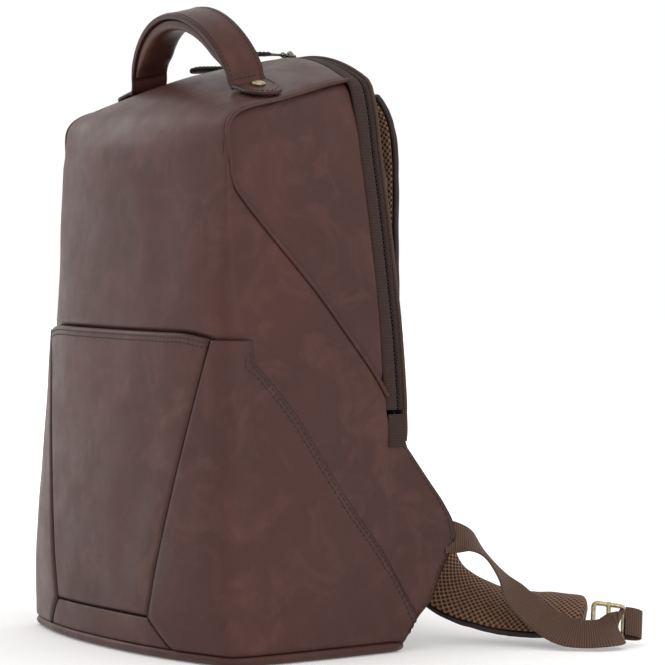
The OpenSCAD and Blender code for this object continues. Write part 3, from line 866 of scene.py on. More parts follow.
def main_wrap():
    cols = both(span(0, 1, 46)[1:] + span(1, 1.3, 7)[1:] + span(1.3, 3, 46)[1:]
                + span(3, 4, 16)[1:])
    cols.insert(len(cols) // 2, 0.0)
    rows = 120
    verts, edge, index = [], [], {}
    for j, q in enumerate(cols):
        high = top_of(q)
        for i in range(rows + 1):
            z = lerp(0.0062, high, i / rows)
            p, n = surf(q, z)
            rim = min((high - z) if abs(q) > 1.3 else 1.0, z * 3)
            if abs(q) > 3.0:
                rim = min(rim, (4 - abs(q)) * 0.05)
            p = p + n * ((wobble(p) + dents(p)) * ease(rim / 0.02) - tuck(q, z))
            # the border at the piping turns in
            p = p - n * 0.0012 * falloff(rim, 0.004)
            index[(i, j)] = len(verts)
            verts.append(p)
            edge.append(falloff(rim, 0.004))
    faces = [(index[(i, j)], index[(i, j + 1)], index[(i + 1, j + 1)], index[(i + 1, j)])
             for i in range(rows) for j in range(len(cols) - 1)]
    inner = [j for j, q in enumerate(cols) if abs(q) <= 1.3]
    steps = 70
    for k in range(1, steps + 1):
        s = k / steps
        for j in inner:
            q = cols[j]
            p = roll_pt(s, q)
            e = 0.004
            du = roll_pt(s, min(q + e, 1.3)) - roll_pt(s, max(q - e, -1.3))
            dv = roll_pt(min(s + e, 1), q) - roll_pt(s - e, q)
            n = du.cross(dv).normalized()
            rim = min((1.3 - abs(q)) * 0.09, (1 - s) * 0.15)
            p = p + n * (wobble(p, 0.8) * ease(rim / 0.012) - 0.0010 * falloff(rim, 0.004))
            index[("r", k, j)] = len(verts)
            verts.append(p)
            edge.append(falloff(rim, 0.004))

    def idx(k, j):
        return index[(rows, j)] if k == 0 else index[("r", k, j)]
    for k in range(steps):
        for j in inner[:-1]:
            faces.append((idx(k, j), idx(k, j + 1), idx(k + 1, j + 1), idx(k + 1, j)))
    ob = new_obj("wrap_main", verts, faces, HIDE)
    paint(ob, "edge", edge)
    m = ob.modifiers.new("thick", "SOLIDIFY")
    m.thickness, m.offset = SKIN, -1
    settle(ob)
    return folds(ob, "wrap_lower", "fold_band", "wrap_upper", "wing_right", "wing_left")


# ------------------------------------------------------------------ pocket
def edge_roll(d, width=0.0035, drop=0.0016):
    return -drop * (1 - clamp(d / width)) ** 2


def pocket_lift(z):
    return lerp(0.0012, 0.0030, ease((z - 0.01) / 0.06))


def pocket_panel():
    grid, edge = [], []
    rows, cols = 96, 110
    for i in range(rows + 1):
        line, el = [], []
        for k in range(cols + 1):
            t = lerp(-1, 1, k / cols)
            high = lip_top(t * 1.02)
            z = lerp(PANEL_Z, high, i / rows)
            x = seam_x(z) * t
            q = q_of_x(z, x)
            p, n = surf(q, z)
            d_side = seam_x(z) - abs(x)
            d_low = z - PANEL_Z
            d_top = high - z
            off = pocket_lift(z) - 0.0008
            off += edge_roll(min(d_side, d_low)) + 0.0008 * ease((0.03 - d_top) / 0.03)
            off += edge_roll(d_top, 0.0018, 0.0009)
            off += wobble(p, 0.9) * ease(min(d_side, d_low, d_top) / 0.02)
            off += dents_pocket(p)
            line.append(p + n * off)
            el.append(max(falloff(min(d_side, d_low), 0.003), falloff(d_top, 0.0022)))
        grid.append(line)
        edge.append(el)
    riding(sheet_mesh("pocket_panel", grid, HIDE_B, SKIN, edge, outward=(0, -1, 0)),
           "back", "leather", "pocket_front")


def dents_pocket(p):
    """Soft vertical hollow and the ridge beside it on the pocket's front."""
    a = 0.0016 * math.exp(-((p.x - 0.055 - (p.z - 0.12) * 0.25) / 0.022) ** 2
                          - ((p.z - 0.110) / 0.070) ** 2)
    b = 0.0012 * math.exp(-((p.x + 0.045) / 0.035) ** 2 - ((p.z - 0.150) / 0.05) ** 2)
    return -a - b


def pocket_wrap(sign, side):
    rows, cols = 100, 100
    grid, edge = [], []
    for i in range(rows + 1):
        z = lerp(POCKET_LOW, 0.2240, i / rows)
        qa = q_of_x(z, seam_x(z) + 0.0002)
        qb = max(pocket_end_q(clamp(z, 0.008, 0.2215)), 1.32)
        line, el = [], []
        for k in range(cols + 1):
            t = k / cols
            q = lerp(qa, qb, t)
            p, n = surf(q, z)
            pa, pb = body_pt(z, qa), body_pt(z, qb)
            d_seam = (p - pa).length
            d_rear = (p - pb).length
            d_low = z - POCKET_LOW
            off = pocket_lift(z) - 0.0002
            off -= 0.0010 * ease((q - 1.3) / 1.2)
            off += edge_roll(d_seam) + edge_roll(d_rear, 0.0026, 0.0014) + edge_roll(d_low)
            off += wobble(p, 1.1) * ease(min(d_seam, d_rear, d_low) / 0.02)
            # the corner is a soft fold that stands a little proud
            off += 0.0010 * math.exp(-((q - 1.12) / 0.07) ** 2)
            line.append(flip(p + n * off, sign))
            el.append(max(falloff(d_seam, 0.003), falloff(d_rear, 0.0042),
                          falloff(d_low, 0.003)))
        grid.append(line)
        edge.append(el)
    ob = sheet_mesh("pocket_wrap_" + side, grid, HIDE_C, SKIN, edge, outward=(sign, -0.4, 0))
    riding(ob, "back", "leather", "pocket_side_" + side)


def pocket_strip():
    rows, cols = 14, 110
    grid, edge = [], []
    for i in range(rows + 1):
        z = lerp(POCKET_LOW, PANEL_Z - 0.0006, i / rows)
        line, el = [], []
        for k in range(cols + 1):
            t = lerp(-1, 1, k / cols)
            x = (seam_x(z) - 0.0008) * t
            p, n = surf(q_of_x(z, x), z)
            d = min(seam_x(z) - abs(x), PANEL_Z - z, z - 0.0065)
            off = pocket_lift(z) - 0.0012 + edge_roll(d, 0.003) + wobble(p, 0.5)
            line.append(p + n * off)
            el.append(falloff(d, 0.003))
        grid.append(line)
        edge.append(el)
    riding(sheet_mesh("pocket_strip_leather", grid, HIDE, SKIN, edge, outward=(0, -1, 0)),
           "back", "leather", "pocket_strip")


def pocket_stitches():
    """Two rows along the lip and down the pocket's rear edges."""
    lines = []
    for inset_d in SEAM_ROWS:
        line = []
        for k in range(0, 241):
            t = lerp(-1, 1, k / 240)
            high = lip_top(t * 1.02)
            z = high - inset_d
            p, n = surf(q_of_x(z, (PANEL_TOP - 0.001) * t), z)
            off = pocket_lift(z) + dents_pocket(p) + wobble(p, 0.9) * ease(inset_d / 0.02)
            line.append((p + n * off, n))
        lines.append(line)
    for sign in (1, -1):
        for inset_d in SEAM_ROWS:
            line = []
            for i in range(0, 201):
                z = lerp(0.2190 - inset_d, 0.012, i / 200)
                q = max(pocket_end_q(clamp(z + inset_d * 0.6, 0.008, 0.2215)), 1.32)
                q -= inset_d * 0.8 * 1.7 / 0.13
                p, n = surf(q, z)
                off = pocket_lift(z) - 0.0002 - 0.0010 * ease((q - 1.3) / 1.2)
                off += wobble(p, 1.1) * ease(inset_d / 0.02)
                line.append((flip(p + n * off, sign), flip(n, sign)))
            lines.append(line)
    riding(stitches("pocket_stitching", lines, THREAD), "back", "leather")


# ------------------------------------------------------------------ side panels and piping
def panel_front_y(z):
    """Front border of the inset panel at a height below the top seam."""
    lo, hi = -0.0595, 0.070
    for _ in range(30):
        m = (lo + hi) / 2
        if DIAG(m) > z:
            lo = m
        else:
            hi = m
    return lo


EDGE_ROWS = [route(EDGE, i / 80) for i in range(81)]


def edge_at_z(z):
    for a, b in zip(EDGE_ROWS, EDGE_ROWS[1:]):
        if a.z <= z <= b.z:
            return a.lerp(b, (z - a.z) / max(b.z - a.z, 1e-6))
    return EDGE_ROWS[0] if z < EDGE_ROWS[0].z else EDGE_ROWS[-1]


def side_panel(sign, side):
    rows, cols = 110, 50
    n, y1 = V((1, 0.10, 0.22)).normalized(), SEAM_Y + 0.0004
    grid, edge = [], []
    for i in range(rows + 1):
        z = lerp(SIDE_LOW, 0.4068, i / rows)
        y0 = panel_front_y(z) if z < ROLL_Z else edge_at_z(z).y
        line, el = [], []
        for k in range(cols + 1):
            y = lerp(y0 + 0.0002, max(y1, y0 + 0.0006), k / cols)
            p = side_pt(z, y)
            d_top = 1.0
            if z > 0.36:
                # the panel's upper border follows the top seam
                e = min(EDGE_ROWS, key=lambda r: abs(r.y - y) + (0 if r.z > 0.37 else 1))
                over = side_pt(e.z, y).x - e.x
                p.x -= over * ease((z - 0.36) / max(e.z - 0.36, 0.01))
                d_top = max(e.z - z, 0) if z > 0.37 else 1.0
            d = min((y - y0) * 0.8, d_top)
            off = -0.0034 + 0.0022 * ease(d / 0.010) + 0.0018 * ease(d / 0.05)
            off += wobble(p, 1.2) * ease(min(d, y1 - y) / 0.015)
            off += edge_roll(y1 - y, 0.002, 0.0008)
            line.append(flip(p + n * off, sign))
            el.append(max(falloff(d, 0.005), 0.6 * (1 - ease((y1 - y) / 0.002))))
        grid.append(line)
        edge.append(el)
    ob = sheet_mesh("side_inset_" + side, grid, HIDE_C, 0.0020, edge, outward=(sign, 0, 0))
    folds(ob, "side_panel_" + side)


def border_line(sign):
    """The wrap's border on one side: up the diagonal, round the corner, along the top."""
    pts = []
    for i in range(0, 81):
        y = lerp(0.0640, -0.0585, i / 80)
        z = DIAG(y)
        if z > ROLL_Z - 0.001:
            break
        p = side_pt(z, y)
        pts.append(p)
    for i in range(1, 101):
        pts.append(roll_pt(i / 100, 1.3))
    return spaced([flip(p, sign) for p in pts], 0.0016)


def piping(sign, side):
    inner = [p + V((-sign * 0.0004, 0.0012, -0.0006)) for p in border_line(sign)]
    inner[-1].y = min(inner[-1].y, SEAM_Y)
    ob = tube("piping_cord_" + side, inner, 0.0017, HIDE, 12)
    paint(ob, "edge", [0.18] * len(ob.data.vertices))
    folds(ob, "piping_" + side)


# ------------------------------------------------------------------ base
def ring_at(z, off, rear):
    """Outline of the body at a height, closed across the back."""
    qs = both(span(0, 1, 40)[1:] + span(1, 1.3, 8)[1:] + span(1.3, 3, 30)[1:])
    qs.insert(len(qs) // 2, 0.0)
    pts = []
    for q in qs:
        p, n = surf(q, max(z, 0.004))
        p = p + n * off
        p.z = z
        pts.append(p)
    for k in range(1, 6):
        t = k / 5
        pts.append(V((pts[-1].x - 0.0003, lerp(SEAM_Y, rear - 0.006, t), z)) if k < 5 else
                   V((pts[-1].x - 0.004, rear - 0.001, z)))
        pts.insert(0, flip(pts[-1]))
    back = [V((x, rear, z)) for x in span(pts[-1].x - 0.004, pts[0].x + 0.004, 40)]
    return pts + back


def base():
    prof = [(-0.030, 0.0004), (-0.010, 0.0003), (-0.0035, 0.0004), (-0.0012, 0.0010),
            (0.0006, 0.0024), (0.0014, 0.0044), (0.0006, 0.0064), (-0.0016, 0.0078),
            (-0.0060, 0.0082)]
    rings = []
    for off, z in prof:
        rings.append(ring_at(z, off, 0.0765 + off * 0.6))
    n = len(rings[0])
    verts = [p for r in rings for p in r]
    faces = []
    for i in range(len(rings) - 1):
        for k in range(n):
            e = (k + 1) % n
            faces.append((i * n + k, (i + 1) * n + k, (i + 1) * n + e, i * n + e))
    c0 = len(verts)
    verts += [V((0, -0.01, 0.0005)), V((0, -0.01, 0.0078))]
    for k in range(n):
        e = (k + 1) % n
        faces.append((k, e, c0))
        m = (len(rings) - 1) * n
        faces.append((m + e, m + k, c0 + 1))
    ob = new_obj("base_leather", verts, faces, HIDE)
    edge = []
    for off, z in prof:
        edge += [0.7 if z > 0.0075 else (0.25 if z < 0.001 else 0.0)] * n
    paint(ob, "edge", edge + [0.2, 0.2])
    face_out(ob)
    riding(ob, "back", "leather", "base_panel")


# ------------------------------------------------------------------ flat bands
def rounded_ring(hw, ht, r, flats=8, arcs=3):
    """Rounded rectangle (across, through, edge) anticlockwise from the lower left corner."""
    r = min(r, hw * 0.98, ht * 0.98)
    out = []
    corners = ((-1, -1, 180), (1, -1, 270), (1, 1, 0), (-1, 1, 90))
    for k, (sx, sy, start) in enumerate(corners):
        for i in range(arcs + 1):
            a = math.radians(start + 90 * i / arcs)
            out.append((sx * (hw - r) + r * math.cos(a), sy * (ht - r) + r * math.sin(a), 1.0))
        if k in (0, 2):
            nx = corners[(k + 1) % 4][0]
            for i in range(1, flats):
                x = lerp(sx * (hw - r), nx * (hw - r), i / flats)
                out.append((x, sy * ht, clamp((abs(x) - hw + 0.0022) / 0.0010)))
    return out


def band_mesh(name, rows, mat, edge=1.0, flats=8, round_r=0.0012):
    """Closed band. Each row is centre, width direction, normal, half width, half thickness."""
    verts, paint_e, flow, far = [], [], [], 0.0
    for i, (c, w, n, hw, ht) in enumerate(rows):
        far += (c - rows[i - 1][0]).length if i else 0
        ring = rounded_ring(hw, ht, round_r, flats)
        m = len(ring)
        for x, y, e in ring:
            verts.append(c + w * x + n * y)
            paint_e.append(e * edge)
            flow.append((x, far, 0))
    ob = new_obj(name, verts, closed(len(rows), m), mat)
    face_out(ob)
    paint(ob, "edge", paint_e)
    paint_vec(ob, "flow", flow)
    return ob


def mirrored(ob, name):
    """Copy of a piece on the other side of the middle plane."""
    me = ob.data.copy()
    me.name = name
    for v in me.vertices:
        v.co.x = -v.co.x
    me.flip_normals()
    return link(name, me)


def pair(ob):
    """A right piece and its mirrored twin, each with its side."""
    return (ob, 1, "right"), (mirrored(ob, ob.name.replace("right", "left")), -1, "left")


def moved(ob, matrix):
    ob.data.transform(matrix)
    return ob


def joined(name, parts):
    """One object from several, keeping their attributes and materials."""
    with bpy.context.temp_override(active_object=parts[0], selected_editable_objects=parts,
                                   selected_objects=parts, object=parts[0]):
        bpy.ops.object.join()
    parts[0].name = name
    parts[0].data.name = name
    return parts[0]


# ------------------------------------------------------------------ zip
ZIP = zip_line()


def zip_at(i):
    """Point, direction and inward direction of the zip's line."""
    t = heading(ZIP, i)
    return ZIP[i], t, V((t.z, 0, -t.x))


def zip_strip(name, profile, mat, body, thick, *nodes):
    """Strip along the zip through (y, inward) points."""
    grid, flow = [], []
    for i in range(len(ZIP)):
        p, _, n = zip_at(i)
        grid.append([p + n * d + V((0, y, 0)) for y, d in profile])
        flow.append([(y, i * ZIP_STEP, 0) for y, _ in profile])
    ob = sheet_mesh(name, grid, mat, thick, None, flow, outward=(0, 0, 1))
    riding(ob, body, "webbing", *nodes)


def zip_teeth(name, y0, y1, phase, body, node):
    verts, faces = [], []
    sides, rings = 6, 5
    for i in range(phase, len(ZIP) - 1, 2):
        p, t, n = zip_at(i)
        base = len(verts)
        for k in range(rings):
            s = k / (rings - 1)
            r = 0.00052 * (0.55 + 0.45 * math.sin(math.pi * (0.1 + 0.8 * s)))
            c = p + n * (0.0009 - 0.0003 * math.sin(math.pi * s)) + V((0, lerp(y0, y1, s), 0))
            for j in range(sides):
                a = 2 * math.pi * j / sides
                verts.append(c + t * r * math.cos(a) + n * r * math.sin(a))
        faces += closed(rings, sides, base)
    riding(new_obj(name, verts, faces, TEETH), body, "zip_teeth", node)


def back_half(z):
    """Half width of the back panel at a height."""
    if z < 0.040:
        return through([(0.008, 0.107), (0.012, 0.123), (0.024, 0.132), (0.040, 0.1346)])(z)
    # kept inside the leather wing low down
    side = REAR(z) - 0.0004 - 0.0030 * (1 - ease((z - 0.140) / 0.02))
    if z > ARC_Z + 0.12:
        side = min(side, math.sqrt(max((TOP_R - 0.0004) ** 2 - (z - ARC_Z) ** 2, 0.0)))
    return side


def zipper():
    zip_strip("zip_tape_outer", [(0.0626, 0.0022), (0.0632, 0.0010), (0.0644, 0.0004),
                                 (0.0668, 0.0001), (0.0698, 0.0001), (0.0720, 0.0003),
                                 (0.0731, 0.0010), (0.0736, 0.0020)],
              TAPE, "front", 0.0009, "zip_tape_front")
    zip_strip("zip_tape_inner", [(0.0746, 0.0020), (0.0750, 0.0010), (0.0757, 0.0004),
                                 (0.0768, 0.0002), (0.0780, 0.0003), (0.0788, 0.0010)],
              TAPE, "back", 0.0009, "zip_tape_back")
    zip_teeth("zip_teeth_front", 0.0730, 0.0744, 0, "front", "zip_coil_front")
    zip_teeth("zip_teeth_back", 0.0738, 0.0752, 1, "back", "zip_coil_back")
    # piped edge of the back panel, beside the zip and down to the base
    low = [V((back_half(z), 0.0798, z)) for z in span(0.150, 0.170, 10)]
    line = [flip(p) for p in low] + [p + V((0, 0.0798, 0)) for p in ZIP[2:-2]]
    line += list(reversed(low))
    pts = spaced(line, 0.002)
    ob = tube("back_binding", pts, 0.0013, BIND, 8, hint=V((0, 1, 0)))
    riding(ob, "back", "webbing")
    for sign, side in SIDES:
        # the tape runs on under the wing
        box = [V((sign * (REAR(z) - 0.0002 + a * 0.0008), y, z)) for a in (-1, 1)
               for y in (0.0650, 0.0788) for z in (0.1460, 0.1692)]
        ob = hull_box("zip_end_" + side, TAPE, box, 0.0005)
        paint_vec(ob, "flow", [(v.co.y, v.co.z, 0) for v in ob.data.vertices])
        riding(ob, "back", "webbing", "zip_stop_" + side)


# ------------------------------------------------------------------ sliders and pulls
def arc_matrix(angle):
    return (Matrix.Translation((0, COIL_Y, ARC_Z)) @ Matrix.Rotation(math.radians(angle), 4, "Y")
            @ Matrix.Translation((0, 0, TOP_R)))


def lathe(name, profile, mat, segs=48):
    """Turned piece about Z through (radius, height) points."""
    turn = [2 * math.pi * k / segs for k in range(segs)]
    verts = [V((r * math.cos(a), r * math.sin(a), z)) for r, z in profile for a in turn]
    return new_obj(name, verts, closed(len(profile), segs), mat)


def outline_solid(name, outline, z0, z1, mat, bevel, shape=None):
    """Bevelled plate from an outline, bent by shape(point)."""
    bm = bmesh.new()
    low = [bm.verts.new((x, y, z0)) for x, y in outline]
    face = bm.faces.new(low)
    top = bmesh.ops.extrude_face_region(bm, geom=[face])["geom"]
    bmesh.ops.translate(bm, vec=(0, 0, z1 - z0), verts=[g for g in top
                                                      if isinstance(g, bmesh.types.BMVert)])
    bmesh.ops.recalc_face_normals(bm, faces=bm.faces)
    rim = [e for e in bm.edges if abs(e.verts[0].co.z - e.verts[1].co.z) < 1e-9]
    bmesh.ops.bevel(bm, geom=rim, offset=bevel, segments=3, profile=0.5, affect="EDGES")
    return from_bmesh(name, bm, mat, shape)


def drop_outline(length, wide, narrow, tip, n=10):
    """Outline of a slim tab along -Y with a rounded tip."""
    pts = [(wide * 0.80, 0.0), (wide * 0.96, -0.0010), (wide, -0.0030)]
    pts += [(lerp(wide, narrow, k / 6), lerp(-0.0030, -length + tip, k / 6)) for k in range(1, 7)]
    pts += [(narrow * math.cos(a), -length + tip - tip * math.sin(a))
            for a in [math.pi / 2 * k / n for k in range(1, n + 1)]]
    return pts + [(-x, y) for x, y in reversed(pts[:-1])]


def slider(side, angle):
    where = arc_matrix(angle)
    outline = [(0.0060 * math.cos(a) * (1.0 if math.cos(a) > 0 else 0.92),
                0.0042 * math.sin(a) * (1 - 0.18 * max(math.cos(a), 0)))
               for a in [2 * math.pi * k / 40 for k in range(40)]]
    body = outline_solid("slider_plate", outline, 0.0007, 0.0024, STEEL, 0.0005)
    arch = [V((x, -0.0005, 0.0022 + 0.0022 * math.sin(math.pi * (x + 0.0042) / 0.0084)))
            for x in span(-0.0042, 0.0042, 16)]
    bridge = tube("bridge", arch, 0.0009, STEEL, 10, hint=V((0, 1, 0)), squash=1.6)
    ears = []
    for x in (-0.0030, 0.0030):
        pts = [V((x, y, 0.0016 + (0.0011 if y < -0.0055 else 0.0004)))
               for y in span(-0.0036, -0.0068, 6)]
        ears.append(tube("ear", pts, 0.0009, STEEL, 10))
    bar = tube("bar", [V((x, -0.0062, 0.0026)) for x in span(-0.0041, 0.0041, 8)],
               0.00075, STEEL, 12)
    ob = joined("zip_slider_body_" + side, [body, bridge, bar] + ears)
    moved(ob, where)
    riding(ob, "zip_slider_" + side, "brass", "slider_" + side)
    # link: an eye round the bar, a flat stem and a cross bar
    eye = [V((0, -0.0062 + 0.0017 * math.cos(a), 0.0026 + 0.0016 * math.sin(a)))
           for a in [2 * math.pi * k / 24 for k in range(25)]]
    parts = [tube("eye", eye, 0.0006, STEEL, 8, hint=V((1, 0, 0)), squash=1.0)]
    stem = [(0.0011, -0.0078), (0.0012, -0.0110), (0.0019, -0.0140), (0.0034, -0.0168),
            (0.0039, -0.0178), (0.0038, -0.0186), (-0.0038, -0.0186), (-0.0039, -0.0178),
            (-0.0034, -0.0168), (-0.0019, -0.0140), (-0.0012, -0.0110), (-0.0011, -0.0078)]
    parts.append(outline_solid("stem", stem, 0.0018, 0.0035, STEEL, 0.0005))
    ob = joined("zip_link_" + side, parts)
    moved(ob, where)
    riding(ob, "zip_pull_" + side, "brass", "pull_" + side)

    def hang(p):
        """The leather tab drops a little towards its end."""
        far = clamp(-p.y / 0.04)
        return V((p.x, p.y - 0.0186, p.z - 0.0014 * far * far))
    out = drop_outline(0.0400, 0.0046, 0.0052, 0.0085)
    tab = outline_solid("pull_leather_" + side, out, 0.0015, 0.0039, DARK_HIDE, 0.0006, hang)
    paint(tab, "edge", [0.0 if 0.0016 < v.co.z < 0.003 else 0.4 for v in tab.data.vertices])
    moved(tab, where)
    riding(tab, "zip_pull_" + side, "dark_leather", "pull_tab_" + side)
    inner = drop_outline(0.0380, 0.0034, 0.0040, 0.0075)
    line = [(where @ hang(V((x, y - 0.0010, 0.0040))), where.to_3x3() @ V((0, 0, 1)))
            for x, y in inner]
    seam = stitches("pull_stitching_" + side, [line], THREAD, 0.0022, 0.0012, 0.00028)
    riding(seam, "zip_pull_" + side, "dark_leather")


# ------------------------------------------------------------------ handle
HANDLE_Y, HANDLE_Z = -0.0145, 0.406
H_SPAN, H_RISE, RIVET_X = 0.074, 0.054, 0.084
H_END = 0.1062              # tip of the handle's feet
H_SEAM = 0.0118             # stitches from the strap's middle
H_LEAN = math.radians(12)   # the handle rests leaning a little forwards
H_WIDE = V((0, math.cos(H_LEAN), math.sin(H_LEAN)))


def arch(a, d):
    rise = (H_RISE - d) * max(math.cos(a), 0) ** 1.3
    return V(((H_SPAN - d) * math.sin(a), HANDLE_Y - rise * math.sin(H_LEAN),
              HANDLE_Z + rise * math.cos(H_LEAN)))


def handle_path(d, low=0.0):
    """Centre line of the handle strap, foot to foot, d below its outer face."""
    half = [arch(math.radians(a), d) for a in span(0, 78, 44)]
    end = half[-1]
    foot_z = top_height(0.080, HANDLE_Y) + 0.0030 - low
    x0 = end.x
    for t in span(0, 1, 10)[1:]:
        a = t * math.pi / 2
        half.append(V((x0 + 0.0050 * (1 - math.cos(a)), lerp(end.y, HANDLE_Y, t),
                       lerp(end.z, foot_z, 1 - (1 - t) ** 1.6))))
    x0 = half[-1].x
    for x in span(x0, H_END, 22)[1:]:
        half.append(V((x, HANDLE_Y, top_height(x, HANDLE_Y) + 0.0030 - low)))
    pts = [flip(p) for p in reversed(half[1:])] + half
    return spaced(pts, 0.0016)


def handle():
    pts = handle_path(0.0020)
    rows = []
    for i, p in enumerate(pts):
        t = heading(pts, i)
        fall = V((0, 0.03, top_height(abs(p.x), HANDLE_Y + 0.015)
                  - top_height(abs(p.x), HANDLE_Y - 0.015))).normalized()
        wide = fall.lerp(H_WIDE, ease((p.z - 0.402) / 0.012)).normalized()
        nor = t.cross(wide).normalized()
        left = H_END - abs(p.x)
        hw = 0.0150 * math.sqrt(clamp(1 - (1 - clamp(left / 0.015)) ** 2, 0.05, 1))
        ht = lerp(0.0013, 0.0020, ease((p.z - 0.412) / 0.012))
        rows.append((p, wide, nor, hw, ht))
    ob = band_mesh("handle_leather", rows, HIDE_B, 1.0, 14, 0.0009)
    for v in ob.data.vertices:
        v.co += V((0, 0, 0.4)) * wobble(v.co, 0.5)
    bend = (("front", "handle"), (0, HANDLE_Y, 0.405), (0, HANDLE_Y, 0.416), "leather")
    bending(ob, *bend, "handle_strap", "handle_foot_right", "handle_foot_left")
    lines = []
    for y in (-H_SEAM, H_SEAM):
        lines.append([(r[0] + r[2] * r[4] + r[1] * y, r[2]) for r in rows
                      if abs(r[0].x) < 0.0925])
    for sx in (-1, 1):
        tip = [r for r in rows if sx * r[0].x > 0.078]
        tip = tip if sx > 0 else tip[::-1]
        loop = []
        for a in span(-0.5, 0.5, 24):
            x = 0.0912 + H_SEAM * math.cos(a * math.pi)
            y = H_SEAM * math.sin(a * math.pi)
            r = min(tip, key=lambda q: abs(abs(q[0].x) - x))
            loop.append((V((sx * x, HANDLE_Y + y, top_height(x, HANDLE_Y + y) + 0.0044)), r[2]))
        lines.append(loop)
        # row across the strap where it leaves the top
        r = min((q for q in rows if sx * q[0].x > 0), key=lambda q: abs(q[0].z - 0.4080))
        lines.append([(r[0] + r[2] * r[4] + r[1] * y, r[2]) for y in span(-0.011, 0.011, 8)])
    bending(stitches("handle_stitching", lines, THREAD, 0.0026, 0.0012, 0.00036), *bend)
    # padded underside with its pinched seams
    rows = []
    steps = 80
    for i in range(steps + 1):
        a = math.radians(lerp(-74, 74, i / steps))
        k = ease((74 - abs(math.degrees(a))) / 22)
        mid = lerp(0.0056, 0.0088, k)
        p, q, r = arch(a, mid), arch(a + 0.01, mid), arch(a - 0.01, mid)
        t = (q - r).normalized()
        rows.append((p, H_WIDE, t.cross(H_WIDE).normalized(), lerp(0.0132, 0.0138, k),
                     lerp(0.0026, 0.0052, k)))
    verts, edge, sides = [], [], 28
    for c, w, n2, hw, ht in rows:
        for j in range(sides):
            a = 2 * math.pi * j / sides
            ca, sa = math.cos(a), math.sin(a)
            x = hw * math.copysign(abs(ca) ** 0.62, ca)
            y = ht * math.copysign(abs(sa) ** (0.8 if sa < 0 else 0.45), sa)
            verts.append(c + w * x + n2 * y)
            # painted shade: the roll's upper half, which lies under the handle strap, is marked
            # darker in the edge mask
            edge.append(0.55 * clamp((sa + 0.1) / 0.4))
    ob = new_obj("handle_padding", verts, closed(len(rows), sides), HIDE_C)
    face_out(ob)
    paint(ob, "edge", edge)
    riding(ob, "handle", "leather", "handle_roll")
    for sign, side in SIDES:
        z = top_height(RIVET_X, HANDLE_Y) + 0.0042
        head = lathe("rivet_head_" + side, [(0.0046, -0.0030), (0.0050, 0.0), (0.0051, 0.0005),
                                            (0.0048, 0.0010), (0.0040, 0.0014), (0.0030, 0.0018),
                                            (0.0018, 0.0021), (0.0007, 0.0022)], BRASS)
        a, b = top_height(RIVET_X + 0.004, HANDLE_Y), top_height(RIVET_X - 0.004, HANDLE_Y)
        tilt = math.atan((b - a) / 0.008)
        moved(head, Matrix.Translation((sign * (RIVET_X + 0.0035), HANDLE_Y, z))
              @ Matrix.Rotation(sign * tilt, 4, "Y"))
        riding(head, "front", "brass", "rivet_" + side)


# ------------------------------------------------------------------ back and pads
def back_fabric():
    grid, rows, cols = [], 90, 40
    for i in range(rows + 1):
        z = lerp(0.0085, TOP_Z - 0.0008, i / rows)
        hw = max(back_half(z), 0.004)
        line = []
        for k in range(cols + 1):
            x = hw * (2 * k / cols - 1)
            rim = min(hw - abs(x), z - 0.006, 0.03)
            y = BACK_Y + 0.0014 + 0.0016 * ease(rim / 0.006) + wobble(V((x, 0.3, z)), 0.5)
            line.append(V((x, y, z)))
        grid.append(line)
    ob = sheet_mesh("back_fabric", grid, BACKING, SKIN, outward=(0, 1, 0))
    riding(ob, "back", "lining", "back_panel")


def swollen(ob, pressure, cap, keep):
    """Blows a closed pad up by cloth simulation; keep(point) limits each point."""
    m = ob.modifiers.new("remesh", "REMESH")
    m.mode, m.voxel_size = "VOXEL", 0.004
    settle(ob)
    start = [v.co.copy() for v in ob.data.vertices]
    scene = bpy.context.scene
    scene.frame_start, scene.frame_end = 1, 20
    m = ob.modifiers.new("cloth", "CLOTH")
    s = m.settings
    s.quality, s.mass, s.tension_stiffness, s.compression_stiffness = 5, 0.3, 15, 15
    s.bending_stiffness = 0.5
    s.use_pressure, s.uniform_pressure_force = True, pressure
    s.effector_weights.gravity = 0
    m.collision_settings.use_collision = False
    m.point_cache.frame_start, m.point_cache.frame_end = 1, 20
    for f in range(1, 21):
        scene.frame_set(f)
    settle(ob)
    scene.frame_set(1)
    for v, s0 in zip(ob.data.vertices, start):
        d = v.co - s0
        if d.length > cap:
            d *= cap / d.length
        v.co = keep(s0 + d)
    m = ob.modifiers.new("smooth", "SUBSURF")
    m.levels = m.render_levels = 1
    settle(ob)
    ob.data.polygons.foreach_set("use_smooth", [True] * len(ob.data.polygons))


def rounded(corners, r, n=7):
    """Outline a distance r round a convex core, anticlockwise."""
    out = []
    for i, (x, z) in enumerate(corners):
        (ax, az), (bx, bz) = corners[i - 1], corners[(i + 1) % len(corners)]
        a0, a1 = math.atan2(ax - x, z - az), math.atan2(x - bx, bz - z)
        a1 += 2 * math.pi if a1 < a0 else 0
        out += [(x + r * math.cos(a), z + r * math.sin(a)) for a in span(a0, a1, n)]
    return out


def to_segment(x, z, a, b):
    """Distance of a point from a segment."""
    (ax, az), (bx, bz) = a, b
    t = clamp(((x - ax) * (bx - ax) + (z - az) * (bz - az)) / ((bx - ax) ** 2 + (bz - az) ** 2))
    return math.hypot(x - lerp(ax, bx, t), z - lerp(az, bz, t))


def edge_distance(x, z, corners, r):
    """How far a point is inside that outline."""
    near, inside_core = 1.0, True
    for i, (bx, bz) in enumerate(corners):
        ax, az = corners[i - 1]
        near = min(near, to_segment(x, z, (ax, az), (bx, bz)))
        inside_core = inside_core and (bx - ax) * (z - az) - (bz - az) * (x - ax) >= 0
    return r + near if inside_core else r - near


PAD_Y = BACK_Y + 0.0028
PAD_R = 0.012


